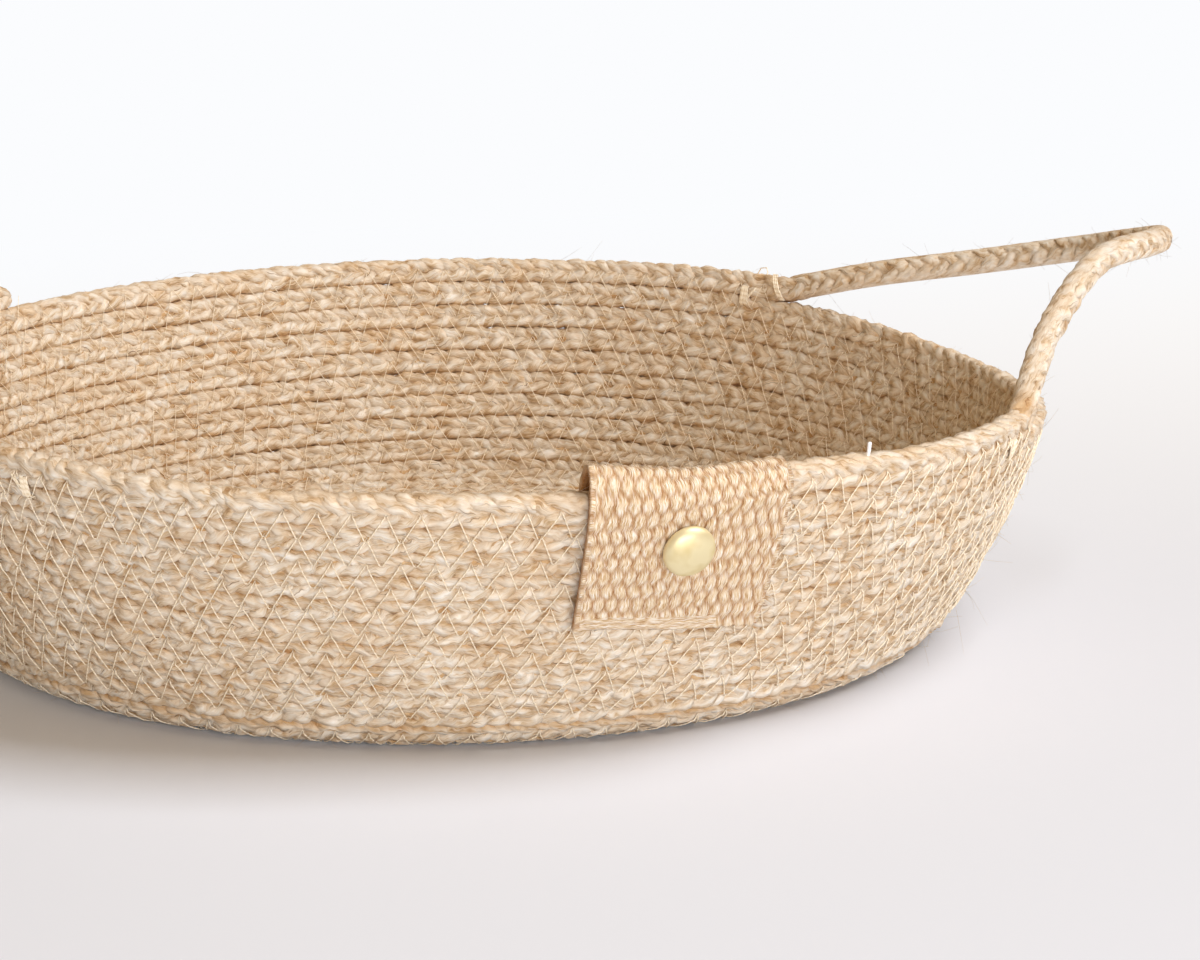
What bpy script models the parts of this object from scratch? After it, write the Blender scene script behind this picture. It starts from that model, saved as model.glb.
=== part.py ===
"""Round coiled storage basket of braided jute cord, with two loop handles.

The basket is one long cord. It is laid in a flat spiral for the base, climbs in the same
spiral for the wall, and its last turn leaves the rim twice to make the handles.
Each stretch of the cord is an object of its own: base, wall, the two sewn stretches of the
rim, the two handles, and the end that is tucked on top of the rim. Bar tacks hold the rim
at the handles' roots. A strip of jute webbing is folded over the rim and riveted through.

Frame: +Z up, the underside at z = 0, the origin in the middle of the part's box, the
handles on +X and -X, and the webbing on the -Y side. Sizes below are in millimetres; the
model is in metres.
"""
import math

import bmesh
import bpy
from mathutils import Matrix, Vector
from mathutils.geometry import intersect_point_line

MM = 0.001

# The cord and the spiral
PITCH = 5.4
CORD_RADIUS = 2.7
CORD_SQUEEZE = 0.94
FLAT_DEPTH = 0.54
FLAT_TURNS_OVER = 0.13
STEPS_PER_TURN = 24
INNER_STEPS_PER_TURN = 12
COARSE_TURNS = 7.0
FIRST_TURN = 0.6
WALL_TURNS = 10
CUT_GAP = 0.3

# The bowl's outline, on the middle of the cord
BASE_RADIUS = 95.9
CORNER_RADIUS = 12.0
FOOT_LEAN_ANGLE = math.radians(31.3)
WALL_CURVE_RADIUS = 165.0
WALL_RUN = 48.5
BASE_HEIGHT = CORD_RADIUS - FLAT_DEPTH

# Where the rim leaves the wall, and where the handles leave the rim, in degrees
TURN_DEGREES = 360.0
RIM_START_ANGLE = 139.0
HANDLE_HALF_ANGLE = 36.9
LEFT_HANDLE_ANGLE = 176.0
TACK_BEYOND_ROOT_ANGLE = 4.2
TUCKED_END_ANGLE = 9.0

# The webbing and the handles stick out unevenly, so the basket's axis stands this far from
# the middle of the whole part's box, which is the origin
AXIS_X = 0.24
AXIS_Y = 1.64

# The soft basket stands a little uneven: its rows rise or dip by these shares of a pitch,
# each about an angle and out to half an angle from it
RIM_TILT_SHARE = 0.30
LEFT_RISE_SHARE = 0.45
LEFT_RISE_ANGLE = 205.0
LEFT_RISE_HALF_ANGLE = 35.0
TAB_RISE_SHARE = 0.27
TAB_RISE_ANGLE = 288.0
TAB_RISE_HALF_ANGLE = 13.0
ROOT_DIP_SHARE = 0.25
ROOT_DIP_ANGLE = 320.0
ROOT_DIP_HALF_ANGLE = 27.0
HANDLE_DIP_SHARE = 0.85
HANDLE_DIP_ANGLE = 2.0
HANDLE_DIP_HALF_ANGLE = 48.0

# A handle's route, by hand: along the line between its roots, outward from it, and up
HANDLE_ROUTE = (
    (75.0, 0.0, 0.0),
    (57.0, 16.5, 6.3),
    (41.0, 35.5, 11.0),
    (23.0, 53.0, 16.3),
    (-1.0, 61.0, 22.3),
    (-24.0, 50.5, 26.0),
    (-41.0, 30.5, 25.5),
    (-57.5, 13.0, 14.0),
    (-75.0, 0.0, 0.0),
)
HANDLE_POINTS_PER_RUN = 4
BALL_RINGS = (20.0, 50.0)

# The webbing, folded over the rim
WEBBING_ANGLE = 276.6
WEBBING_WIDTH = 40.0
WEBBING_THICKNESS = 1.9
WEBBING_DROP = 26.2
WEBBING_OFF_CORD = 3.05
WEBBING_CREST = 4.4
WEBBING_RUN_STEPS = 4
WEBBING_FOLD_STEPS = 8

# The rivet through webbing and wall
RIVET_ANGLE = 276.2
RIVET_DROP = 8.0
RIVET_CAP_RADIUS = 5.2
RIVET_CAP_HEIGHT = 2.4
RIVET_RIM = 0.5
RIVET_POST_RADIUS = 1.5
RIVET_BORE_RADIUS = 1.8
RIVET_SEAT = 5.25
RIVET_BORE_REACH = 10.0
RIVET_SEGMENTS = 24

# The bar tacks
TACK_WIDTH = 2.0
TACK_HEIGHT = 5.5
TACK_PAD = 0.8
TACK_SEAT = 3.0
TACK_WEB = 1.4
TACK_SLOT_GAP = 0.3

JUTE = ("jute_cord", (0.70, 0.53, 0.36, 1.0), 0.95, 0.0)
WEBBING_JUTE = ("jute_webbing", (0.70, 0.50, 0.30, 1.0), 0.95, 0.0)
THREAD = ("sewing_thread", (0.87, 0.81, 0.70, 1.0), 0.7, 0.0)
BRASS = ("pale_brass", (0.83, 0.73, 0.52, 1.0), 0.3, 1.0)

CORNER_ANGLE = math.pi / 2 - FOOT_LEAN_ANGLE
CORNER_END = BASE_RADIUS + CORNER_RADIUS * CORNER_ANGLE
RIM_RUN = CORNER_END + WALL_RUN
RIM_FIRST_TURN = RIM_RUN / PITCH - 0.4
HALF_STEP = 0.5 / STEPS_PER_TURN
WALL_LAST_TURN = RIM_FIRST_TURN - HALF_STEP
WALL_FIRST_TURN = WALL_LAST_TURN - WALL_TURNS


def clear_scene():
    """Remove whatever the file opened with."""
    for old in list(bpy.data.objects):
        bpy.data.objects.remove(old)


def make_material(recipe):
    """Return the material named in a recipe, made at its first use."""
    name, colour, roughness, metallic = recipe
    material = bpy.data.materials.get(name)
    if material is None:
        material = bpy.data.materials.new(name)
        material.use_nodes = True
        shader = material.node_tree.nodes["Principled BSDF"]
        shader.inputs["Base Color"].default_value = colour
        shader.inputs["Roughness"].default_value = roughness
        shader.inputs["Metallic"].default_value = metallic
    return material


def add_object(name, data, recipe=None):
    """Link a new object to the scene, with its material."""
    thing = bpy.data.objects.new(name, data)
    bpy.context.collection.objects.link(thing)
    if recipe is not None:
        data.materials.append(make_material(recipe))
    return thing


def bell(angle, centre, half_width):
    """A smooth hump in degrees: 1 at its centre and 0 from half_width on."""
    off = (angle - centre + TURN_DEGREES / 2) % TURN_DEGREES - TURN_DEGREES / 2
    if abs(off) >= half_width:
        return 0.0
    return math.cos(math.pi / 2 * off / half_width) ** 2


def unevenness(angle, run):
    """How far the soft wall rises or dips at this place, in millimetres."""
    share = max((run - CORNER_END) / WALL_RUN, 0.0)
    sway = RIM_TILT_SHARE * math.sin(math.radians(angle))
    sway += LEFT_RISE_SHARE * bell(angle, LEFT_RISE_ANGLE, LEFT_RISE_HALF_ANGLE)
    sway += TAB_RISE_SHARE * bell(angle, TAB_RISE_ANGLE, TAB_RISE_HALF_ANGLE)
    sway -= ROOT_DIP_SHARE * bell(angle, ROOT_DIP_ANGLE, ROOT_DIP_HALF_ANGLE)
    sway -= HANDLE_DIP_SHARE * bell(angle, HANDLE_DIP_ANGLE, HANDLE_DIP_HALF_ANGLE)
    return PITCH * share * sway


def outline(run):
    """The bowl's outline at a run from the axis: radius, height and slope angle."""
    if run < BASE_RADIUS:
        return run, BASE_HEIGHT, 0.0
    turned_up = min((run - BASE_RADIUS) / CORNER_RADIUS, CORNER_ANGLE)
    slope = turned_up + max(run - CORNER_END, 0.0) / WALL_CURVE_RADIUS
    radius = BASE_RADIUS + CORNER_RADIUS * math.sin(turned_up)
    radius += WALL_CURVE_RADIUS * (math.sin(slope) - math.sin(turned_up))
    height = BASE_HEIGHT + CORNER_RADIUS * (1 - math.cos(turned_up))
    height += WALL_CURVE_RADIUS * (math.cos(turned_up) - math.cos(slope))
    return radius, height, slope


def angle_of(turn):
    """The angle in degrees at which the cord is after so many turns; it winds clockwise."""
    return RIM_START_ANGLE - TURN_DEGREES * (turn - RIM_FIRST_TURN)


def rim_turn(angle):
    """The turn at which the rim's own round passes an angle in degrees."""
    return RIM_FIRST_TURN + ((RIM_START_ANGLE - angle) % TURN_DEGREES) / TURN_DEGREES


def true_station(turn, sideways):
    """The cord's middle and its slope at a turn, on the smooth spiral.

    A distance sideways moves the place up the outline, or down it if it is below zero.
    """
    run = PITCH * turn + sideways
    angle = angle_of(turn)
    radius, height, slope = outline(run)
    height += unevenness(angle, run)
    swing = math.radians(angle)
    place = Vector((AXIS_X, AXIS_Y, height))
    place += radius * Vector((math.cos(swing), math.sin(swing), 0.0))
    return place, slope


def station(turn, sideways=0.0):
    """The same on the faceted spiral, whose corners stand above each other in every row."""
    steps = (turn - RIM_FIRST_TURN) * STEPS_PER_TURN
    before = math.floor(steps + 1e-6)
    share = max(steps - before, 0.0)
    place, slope = true_station(RIM_FIRST_TURN + before / STEPS_PER_TURN, sideways)
    if share > 1e-6:
        after = RIM_FIRST_TURN + (before + 1) / STEPS_PER_TURN
        other, other_slope = true_station(after, sideways)
        place = place.lerp(other, share)
        slope += (other_slope - slope) * share
    return place, slope


def wall_frame(turn, sideways=0.0):
    """A place on the wall, with the directions up the wall and out of the basket."""
    place, slope = station(turn, sideways)
    swing = math.radians(angle_of(turn))
    level = Vector((math.cos(swing), math.sin(swing), 0.0))
    up = level * math.cos(slope) + Vector((0.0, 0.0, math.sin(slope)))
    out = level * math.sin(slope) - Vector((0.0, 0.0, math.cos(slope)))
    return place, up, out


def corner_turns(first, last):
    """The turns of the facets' corners between two ends, with both ends."""
    turns = [first]
    step = math.floor((first - RIM_FIRST_TURN) * STEPS_PER_TURN + 1e-6) + 1
    coarse = STEPS_PER_TURN // INNER_STEPS_PER_TURN
    turn = RIM_FIRST_TURN + step / STEPS_PER_TURN
    while turn < last - 1e-4:
        if turn > COARSE_TURNS or step % coarse == 0:
            turns.append(turn)
        step += 1
        turn = RIM_FIRST_TURN + step / STEPS_PER_TURN
    turns.append(last)
    return turns


def section_guide(name, corners):
    """A closed outline that a cord's curve is swept with, as a hidden guide."""
    curve = bpy.data.curves.new(name, "CURVE")
    curve.dimensions = "3D"
    spline = curve.splines.new("POLY")
    spline.points.add(len(corners) - 1)
    for point, (x, y) in zip(spline.points, corners):
        point.co = (x * MM, y * MM, 0.0, 1.0)
    spline.use_cyclic_u = True
    guide = add_object(name, curve)
    guide.hide_render = True
    guide.display_type = "WIRE"
    return guide


def round_section():
    """A six-sided cord, with corners out of the wall and flats towards its neighbours.

    Its neighbours squeeze it a little, so it is not quite as wide as it is thick.
    """
    corners = []
    for k in range(6):
        swing = math.radians(60.0 * k)
        width = CORD_RADIUS * CORD_SQUEEZE * math.sin(swing)
        corners.append((width, CORD_RADIUS * math.cos(swing)))
    return corners


def flattened_section():
    """The same cord, pressed flat where the basket stands on it."""
    half_flat = FLAT_DEPTH * math.tan(math.radians(60.0)) * CORD_SQUEEZE
    corners = round_section()
    level = FLAT_DEPTH - CORD_RADIUS
    return corners[:3] + [(half_flat, level), (-half_flat, level)] + corners[4:]


def mesh_from_curve(name, curve, recipe):
    """Turn a swept curve into a closed mesh object and drop the curve."""
    sweep = add_object(name + "_sweep", curve)
    graph = bpy.context.evaluated_depsgraph_get()
    mesh = bpy.data.meshes.new_from_object(sweep.evaluated_get(graph))
    bpy.data.objects.remove(sweep)
    work = bmesh.new()
    work.from_mesh(mesh)
    bmesh.ops.remove_doubles(work, verts=work.verts, dist=0.00001)
    bmesh.ops.recalc_face_normals(work, faces=work.faces)
    work.to_mesh(mesh)
    work.free()
    mesh.name = name
    mesh.shade_smooth()
    mesh.set_sharp_from_angle(angle=math.radians(50.0))
    return add_object(name, mesh, recipe)


def coil(name, first, last, section):
    """One unbroken stretch of the spiral between two turns, as a swept cord.

    Its section leans with the wall, but only once it has risen enough for the pressed flat
    to stay off the ground.
    """
    curve = bpy.data.curves.new(name, "CURVE")
    curve.dimensions = "3D"
    curve.bevel_mode = "OBJECT"
    curve.bevel_object = section
    curve.use_fill_caps = True
    curve.twist_mode = "Z_UP"
    turns = corner_turns(first, last)
    spline = curve.splines.new("POLY")
    spline.points.add(len(turns) - 1)
    for point, turn in zip(spline.points, turns):
        place, slope = station(turn)
        point.co = (*(place * MM), 1.0)
        point.tilt = slope * min(slope / FLAT_TURNS_OVER, 1.0)
    return mesh_from_curve(name, curve, JUTE)


def turns_for(length, turn):
    """How many turns a length of cord takes up at this turn."""
    radius = outline(PITCH * turn)[0]
    return length / (2 * math.pi * radius)


def seat(turn, drop, seat_name):
    """An empty on the wall's facet: X along the cord, Y up the wall, Z out of the basket.

    It sits at the given turn, a drop down the wall from the middle of that round.
    """
    place, climb, _ = wall_frame(turn, -drop)
    step = turns_for(1.0, turn)
    along = (station(turn - step, -drop)[0] - place).normalized()
    out = along.cross(climb).normalized()
    up = out.cross(along).normalized()
    frame = Matrix((along, up, out)).transposed().to_4x4()
    frame.translation = place * MM
    empty = bpy.data.objects.new(seat_name, None)
    empty.empty_display_size = 0.01
    bpy.context.collection.objects.link(empty)
    empty.matrix_world = frame
    return empty


def cut_with(target, cutter):
    """Take a cutter away from a target, exactly."""
    cut = target.modifiers.new(cutter.name, "BOOLEAN")
    cut.operation = "DIFFERENCE"
    cut.solver = "EXACT"
    cut.object = cutter


def as_cutter(thing):
    """Mark an object as a cutter, which is no part of the basket."""
    thing.hide_render = True
    thing.display_type = "WIRE"
    return thing


def extruded(name, corners, width, recipe, parent):
    """A flat outline in the YZ plane, extruded along X and centred on its parent."""
    work = bmesh.new()
    ring = [work.verts.new((-width / 2 * MM, y * MM, z * MM)) for y, z in corners]
    face = work.faces.new(ring)
    pushed = bmesh.ops.extrude_face_region(work, geom=[face])
    moved = [item for item in pushed["geom"] if isinstance(item, bmesh.types.BMVert)]
    bmesh.ops.translate(work, verts=moved, vec=(width * MM, 0.0, 0.0))
    bmesh.ops.recalc_face_normals(work, faces=work.faces)
    mesh = bpy.data.meshes.new(name)
    work.to_mesh(mesh)
    work.free()
    thing = add_object(name, mesh, recipe)
    thing.parent = parent
    return thing


def turned(name, profile, recipe, parent, segments=RIVET_SEGMENTS):
    """A profile of radius and height, turned round its parent's Z axis."""
    work = bmesh.new()
    corners = [work.verts.new((radius * MM, 0.0, height * MM)) for radius, height in profile]
    edges = [work.edges.new(pair) for pair in zip(corners, corners[1:])]
    bmesh.ops.spin(
        work,
        geom=corners + edges,
        axis=(0.0, 0.0, 1.0),
        cent=(0.0, 0.0, 0.0),
        angle=2 * math.pi,
        steps=segments,
        use_merge=True,
    )
    bmesh.ops.remove_doubles(work, verts=work.verts, dist=0.00001)
    bmesh.ops.recalc_face_normals(work, faces=work.faces)
    mesh = bpy.data.meshes.new(name)
    work.to_mesh(mesh)
    work.free()
    mesh.shade_smooth()
    mesh.set_sharp_from_angle(angle=math.radians(35.0))
    thing = add_object(name, mesh, recipe)
    thing.parent = parent
    return thing


def smooth_route(points, per_run):
    """A smooth curve through points, with so many steps between each two of them."""
    knots = [points[0] * 2 - points[1], *points, points[-1] * 2 - points[-2]]
    route = []
    for i in range(1, len(knots) - 2):
        before, here, there, after = knots[i - 1:i + 3]
        leave = (there - before) / 2
        arrive = (after - here) / 2
        for step in range(per_run):
            t = step / per_run
            place = here * (2 * t**3 - 3 * t**2 + 1) + there * (3 * t**2 - 2 * t**3)
            place += leave * (t**3 - 2 * t**2 + t) + arrive * (t**3 - t**2)
            route.append(place)
    route.append(points[-1])
    return route


def handle(name, leave_turn, land_turn):
    """A loop of the cord between two roots, with a ball at each on the line it bends about.

    Its origin is halfway between the roots and its Y axis runs along that line.
    """
    leave = station(leave_turn)[0]
    land = station(land_turn)[0]
    middle = (leave + land) / 2
    side = (leave - land).normalized()
    out = side.cross(Vector((0.0, 0.0, 1.0))).normalized()
    up = out.cross(side)
    scale = (leave - land).length / (HANDLE_ROUTE[0][0] - HANDLE_ROUTE[-1][0])
    points = [Vector((a, w * scale, b)) for w, a, b in HANDLE_ROUTE]
    route = smooth_route(points, HANDLE_POINTS_PER_RUN)
    curve = bpy.data.curves.new(name, "CURVE")
    curve.dimensions = "3D"
    curve.bevel_depth = CORD_RADIUS * MM
    curve.bevel_resolution = 2
    curve.use_fill_caps = True
    curve.twist_mode = "Z_UP"
    start = (route[1] - route[0]).normalized()
    finish = (route[-2] - route[-1]).normalized()
    rings = []
    for swing in BALL_RINGS:
        back = CORD_RADIUS * math.cos(math.radians(swing))
        rings.append((route[0] - start * back, math.sin(math.radians(swing))))
    rings += [(place, 1.0) for place in route]
    for swing in reversed(BALL_RINGS):
        back = CORD_RADIUS * math.cos(math.radians(swing))
        rings.append((route[-1] - finish * back, math.sin(math.radians(swing))))
    spline = curve.splines.new("POLY")
    spline.points.add(len(rings) - 1)
    for point, (place, thickness) in zip(spline.points, rings):
        point.co = (*(place * MM), 1.0)
        point.radius = thickness
    loop = mesh_from_curve(name, curve, JUTE)
    frame = Matrix((out, side, up)).transposed().to_4x4()
    frame.translation = middle * MM
    loop.matrix_world = frame
    return loop


def webbing_tab():
    """The strip of webbing, down the outside, over the rim and down the inside."""
    middle_turn = rim_turn(WEBBING_ANGLE)
    half = turns_for(WEBBING_WIDTH / 2, middle_turn)
    profile = []
    for k in range(WEBBING_RUN_STEPS):
        share = k / WEBBING_RUN_STEPS
        profile.append((1.0, 0.0, -WEBBING_DROP * (1 - share)))
    for k in range(WEBBING_FOLD_STEPS + 1):
        swing = math.pi * k / WEBBING_FOLD_STEPS
        profile.append((math.cos(swing), math.sin(swing), 0.0))
    for k in range(1, WEBBING_RUN_STEPS + 1):
        share = k / WEBBING_RUN_STEPS
        profile.append((-1.0, 0.0, -WEBBING_DROP * share))
    work = bmesh.new()
    rings = []
    for turn in corner_turns(middle_turn - half, middle_turn + half):
        ring = []
        for skin, reverse in ((0.0, False), (WEBBING_THICKNESS, True)):
            side = WEBBING_OFF_CORD + skin
            crest = WEBBING_CREST + skin
            row = []
            for x, y, drop in profile:
                place, up, out = wall_frame(turn, drop)
                row.append(place + out * side * x + up * crest * y)
            ring += list(reversed(row)) if reverse else row
        rings.append([work.verts.new(point * MM) for point in ring])
    count = len(rings[0])
    for near, far in zip(rings, rings[1:]):
        for i in range(count):
            j = (i + 1) % count
            work.faces.new((near[i], near[j], far[j], far[i]))
    run = count // 2
    for ring in (rings[0], rings[-1]):
        for i in range(run - 1):
            work.faces.new((ring[i], ring[i + 1], ring[count - 2 - i], ring[count - 1 - i]))
    bmesh.ops.recalc_face_normals(work, faces=work.faces)
    mesh = bpy.data.meshes.new("webbing_tab")
    work.to_mesh(mesh)
    work.free()
    return add_object("webbing_tab", mesh, WEBBING_JUTE)


def rivet(wall, tab):
    """A domed rivet: front cap with its post, and the cap pressed on behind."""
    turn = rim_turn(RIVET_ANGLE)
    place = seat(turn, RIVET_DROP, "rivet_seat")
    reach = RIVET_BORE_REACH
    bore_profile = [(0.0, reach), (RIVET_BORE_RADIUS, reach)]
    bore_profile += [(RIVET_BORE_RADIUS, -reach), (0.0, -reach)]
    bore = turned("rivet_bore", bore_profile, None, place, segments=16)
    cut_with(wall, as_cutter(bore))
    cut_with(tab, bore)
    dome = []
    for k in range(6):
        swing = math.radians(18.0 * k)
        dome.append((RIVET_CAP_RADIUS * math.sin(swing), RIVET_CAP_HEIGHT * math.cos(swing)))
    base = RIVET_SEAT + RIVET_RIM
    front = [(radius, base + height) for radius, height in dome]
    front += [(RIVET_CAP_RADIUS, RIVET_SEAT), (RIVET_POST_RADIUS, RIVET_SEAT)]
    front += [(RIVET_POST_RADIUS, -base), (0.0, -base)]
    turned("rivet_front_cap", front, BRASS, place)
    back = [(radius, -base - height) for radius, height in dome]
    back += [(RIVET_CAP_RADIUS, -RIVET_SEAT), (RIVET_BORE_RADIUS, -RIVET_SEAT)]
    back += [(RIVET_BORE_RADIUS, -base - CUT_GAP), (0.0, -base - CUT_GAP)]
    turned("rivet_back_cap", back, BRASS, place)


def bar_tack(name, turn, above, cords):
    """A dense bar of stitches through the seam of two rounds: two pads and what joins them.

    It sits on the seam under the round at this turn, or on the one above it.
    """
    drop = -PITCH / 2 if above else PITCH / 2
    place = seat(turn, drop, name + "_seat")
    half = TACK_HEIGHT / 2
    web = TACK_WEB / 2
    outer = TACK_SEAT + TACK_PAD
    corners = [
        (-half, outer), (-half, TACK_SEAT), (-web, TACK_SEAT), (-web, -TACK_SEAT),
        (-half, -TACK_SEAT), (-half, -outer), (half, -outer), (half, -TACK_SEAT),
        (web, -TACK_SEAT), (web, TACK_SEAT), (half, TACK_SEAT), (half, outer),
    ]
    extruded(name, corners, TACK_WIDTH, THREAD, place)
    room = web + TACK_SLOT_GAP
    slot_corners = [(-room, -outer), (room, -outer), (room, outer), (-room, outer)]
    slot = extruded(name + "_slot", slot_corners, TACK_WIDTH + 2 * TACK_SLOT_GAP, None, place)
    as_cutter(slot)
    for cord in cords:
        cut_with(cord, slot)


def section_corners(turn, section):
    """The corners of the cord's section at a turn, in millimetres."""
    place, up, out = wall_frame(turn)
    return [place + up * x - out * y for x, y in section]


def outline_distance(corners, others):
    """The least distance from one section's corners to another's outline."""
    least = math.inf
    for corner in corners:
        for start, end in zip(others, others[1:] + others[:1]):
            nearest, share = intersect_point_line(corner, start, end)
            foot = start.lerp(end, min(max(share, 0.0), 1.0))
            least = min(least, (corner - foot).length)
    return least


def least_gap(first, last, section):
    """The least gap between each turn of a coil and the next one, in millimetres.

    It is measured at the facets' corners and halfway between them, from the points of one
    section to the outline of the next, both ways.
    """
    least = math.inf
    for corner in corner_turns(first, last - 1.0):
        for turn in (corner, min(corner + HALF_STEP, last - 1.0)):
            here = section_corners(turn, section)
            beyond = section_corners(turn + 1.0, section)
            least = min(least, outline_distance(here, beyond), outline_distance(beyond, here))
    return least


def build_basket():
    """Make every piece of the basket."""
    clear_scene()
    round_guide = section_guide("cord_section", round_section())
    flat_guide = section_guide("pressed_cord_section", flattened_section())

    base_last = WALL_FIRST_TURN - turns_for(CUT_GAP, WALL_FIRST_TURN)
    base = coil("base_coil", FIRST_TURN, base_last, flat_guide)
    wall_last = WALL_LAST_TURN - turns_for(CUT_GAP, WALL_LAST_TURN)
    wall = coil("wall_coil", WALL_FIRST_TURN, wall_last, round_guide)

    ball_room = turns_for(CORD_RADIUS + CUT_GAP, RIM_FIRST_TURN)
    right_leave = rim_turn(HANDLE_HALF_ANGLE)
    right_land = rim_turn(-HANDLE_HALF_ANGLE)
    left_leave = rim_turn(LEFT_HANDLE_ANGLE + HANDLE_HALF_ANGLE)
    left_land = RIM_FIRST_TURN + 1.0
    tucked_last = left_land + TUCKED_END_ANGLE / TURN_DEGREES

    back = coil("rim_cord_back", WALL_LAST_TURN, right_leave - ball_room, round_guide)
    front = coil("rim_cord_front", right_land + ball_room, left_leave - ball_room, round_guide)
    tucked = coil("cord_end", left_land + ball_room, tucked_last, round_guide)
    handle("handle_right", right_leave, right_land)
    handle("handle_left", left_leave, left_land)

    tack_turns = TACK_BEYOND_ROOT_ANGLE / TURN_DEGREES
    bar_tack("bar_tack_right_back", right_leave - tack_turns, False, (back, wall))
    bar_tack("bar_tack_right_front", right_land + tack_turns, False, (front, wall))
    bar_tack("bar_tack_left_front", left_leave - tack_turns, False, (front, wall))
    bar_tack("bar_tack_left_back", RIM_FIRST_TURN + tack_turns, True, (back, tucked))

    tab = webbing_tab()
    rivet(wall, tab)

    base_gap = least_gap(FIRST_TURN, base_last, flattened_section())
    wall_gap = least_gap(WALL_FIRST_TURN, wall_last, round_section())
    print(f"least gap between the turns: base {base_gap:.2f} mm, wall {wall_gap:.2f} mm")


build_basket()
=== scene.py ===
"""Coiled jute storage basket, dressed for its picture.

One cord, braided of five jute strands, is laid in a spiral for the base, climbs in the same
spiral for the wall and leaves the rim twice for the handles. Zigzag seams hold its rounds
together, bar tacks hold the rim at the handles' roots, and a strip of woven jute webbing is
folded over the rim and riveted through.

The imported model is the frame. Lengths here are in millimetres and angles in degrees, in
the same frame as the model: +Z up, the underside at z = 0, the handles on +X and -X and
the webbing on the -Y side. A place on the basket is given by a turn, counted along the
cord from the middle of the base, and a run, measured along the bowl's outline.
"""
from __future__ import annotations

import logging
import math
from collections.abc import Callable
from dataclasses import dataclass
from enum import Enum
from functools import partial
from typing import Any

import bmesh
import bpy
import numpy as np
from mathutils import Matrix, Vector

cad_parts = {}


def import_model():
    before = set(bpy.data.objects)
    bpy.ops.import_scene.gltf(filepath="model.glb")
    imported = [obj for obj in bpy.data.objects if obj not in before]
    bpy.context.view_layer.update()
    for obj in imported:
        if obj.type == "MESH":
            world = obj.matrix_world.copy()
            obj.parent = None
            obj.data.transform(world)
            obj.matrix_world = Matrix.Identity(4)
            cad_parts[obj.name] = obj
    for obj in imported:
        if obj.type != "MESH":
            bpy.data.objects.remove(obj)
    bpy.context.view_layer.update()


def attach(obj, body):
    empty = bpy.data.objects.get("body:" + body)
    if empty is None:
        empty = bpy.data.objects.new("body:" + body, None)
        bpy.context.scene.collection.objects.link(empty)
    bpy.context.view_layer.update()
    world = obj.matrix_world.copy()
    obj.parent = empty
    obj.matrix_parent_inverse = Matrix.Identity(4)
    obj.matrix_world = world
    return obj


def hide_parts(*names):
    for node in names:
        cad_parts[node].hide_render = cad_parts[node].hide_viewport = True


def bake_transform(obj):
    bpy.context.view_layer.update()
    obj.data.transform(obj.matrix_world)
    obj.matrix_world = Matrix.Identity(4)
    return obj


LOG = logging.getLogger("jute_basket")
MM = 0.001
FULL_TURN = 2.0 * math.pi
# Keeps a thin tube's direction of height from lying quite along its path.
HINT_OFFSET = 0.01


class Body(Enum):
    """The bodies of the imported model."""

    BASKET = "basket"
    RIGHT_HANDLE = "right_handle"
    LEFT_HANDLE = "left_handle"


class Slot(Enum):
    """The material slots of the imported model's record."""

    CORD = "jute_cord"
    WEBBING = "jute_webbing"
    THREAD = "sewing_thread"
    BRASS = "pale_brass"


class Face(Enum):
    """The two faces of the wall and the base: out of the basket and into it."""

    OUTSIDE = 1.0
    INSIDE = -1.0


class Coordinates(Enum):
    """The maps that a mesh carries for its materials, in millimetres or radians."""

    STRAND = "strand_map"
    WEAVE = "weave_map"
    # Not a map: each point's share of painted crease shade, from 0 to 1.
    DEPTH = "depth_in_cord"


def linear(colour: str) -> tuple[float, float, float, float]:
    """Turn an sRGB hex colour into the linear values that a shader takes.

    Args:
        colour: Six hex digits, such as "d2b48c".

    Returns:
        Red, green, blue and an alpha of one.
    """
    values = []
    # The sRGB curve is straight near black and a power above.
    for place in (0, 2, 4):
        share = int(colour[place:place + 2], 16) / 255.0
        low = share / 12.92
        high = ((share + 0.055) / 1.055) ** 2.4
        values.append(low if share <= 0.04045 else high)
    return (values[0], values[1], values[2], 1.0)


def feed(node: bpy.types.Node, links: dict[str | int, Any]) -> None:
    """Give a node's inputs what they take.

    Args:
        node: The node.
        links: What each input takes, by name or number: a number, a colour, or the output
            of another node. A Mix node takes its share at 0, two numbers at 2 and 3, and
            two colours at 6 and 7.
    """
    for name, value in links.items():
        if isinstance(value, bpy.types.NodeSocket):
            node.id_data.links.new(value, node.inputs[name])
        else:
            node.inputs[name].default_value = value


def add_node(
    tree: bpy.types.NodeTree,
    kind: str,
    settings: dict[str, Any] | None = None,
    links: dict[str | int, Any] | None = None,
) -> bpy.types.Node:
    """Add a shader node with its settings and what its inputs take.

    Args:
        tree: The material's node tree.
        kind: The node's type name, without its "ShaderNode" beginning.
        settings: Values of the node's own properties.
        links: What each input takes, as for feed.

    Returns:
        The new node.
    """
    node = tree.nodes.new("ShaderNode" + kind)
    for name, value in (settings or {}).items():
        setattr(node, name, value)
    feed(node, links or {})
    return node


def set_ramp(node: bpy.types.Node, stops: tuple[tuple[float, str], ...]) -> None:
    """Give a colour ramp its stops.

    Args:
        node: A colour ramp node.
        stops: Each stop's place from 0 to 1 and its sRGB hex colour.
    """
    ramp = node.color_ramp
    while len(ramp.elements) < len(stops):
        ramp.elements.new(1.0)
    for element, (place, colour) in zip(ramp.elements, stops):
        element.position = place
        element.color = linear(colour)


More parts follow.
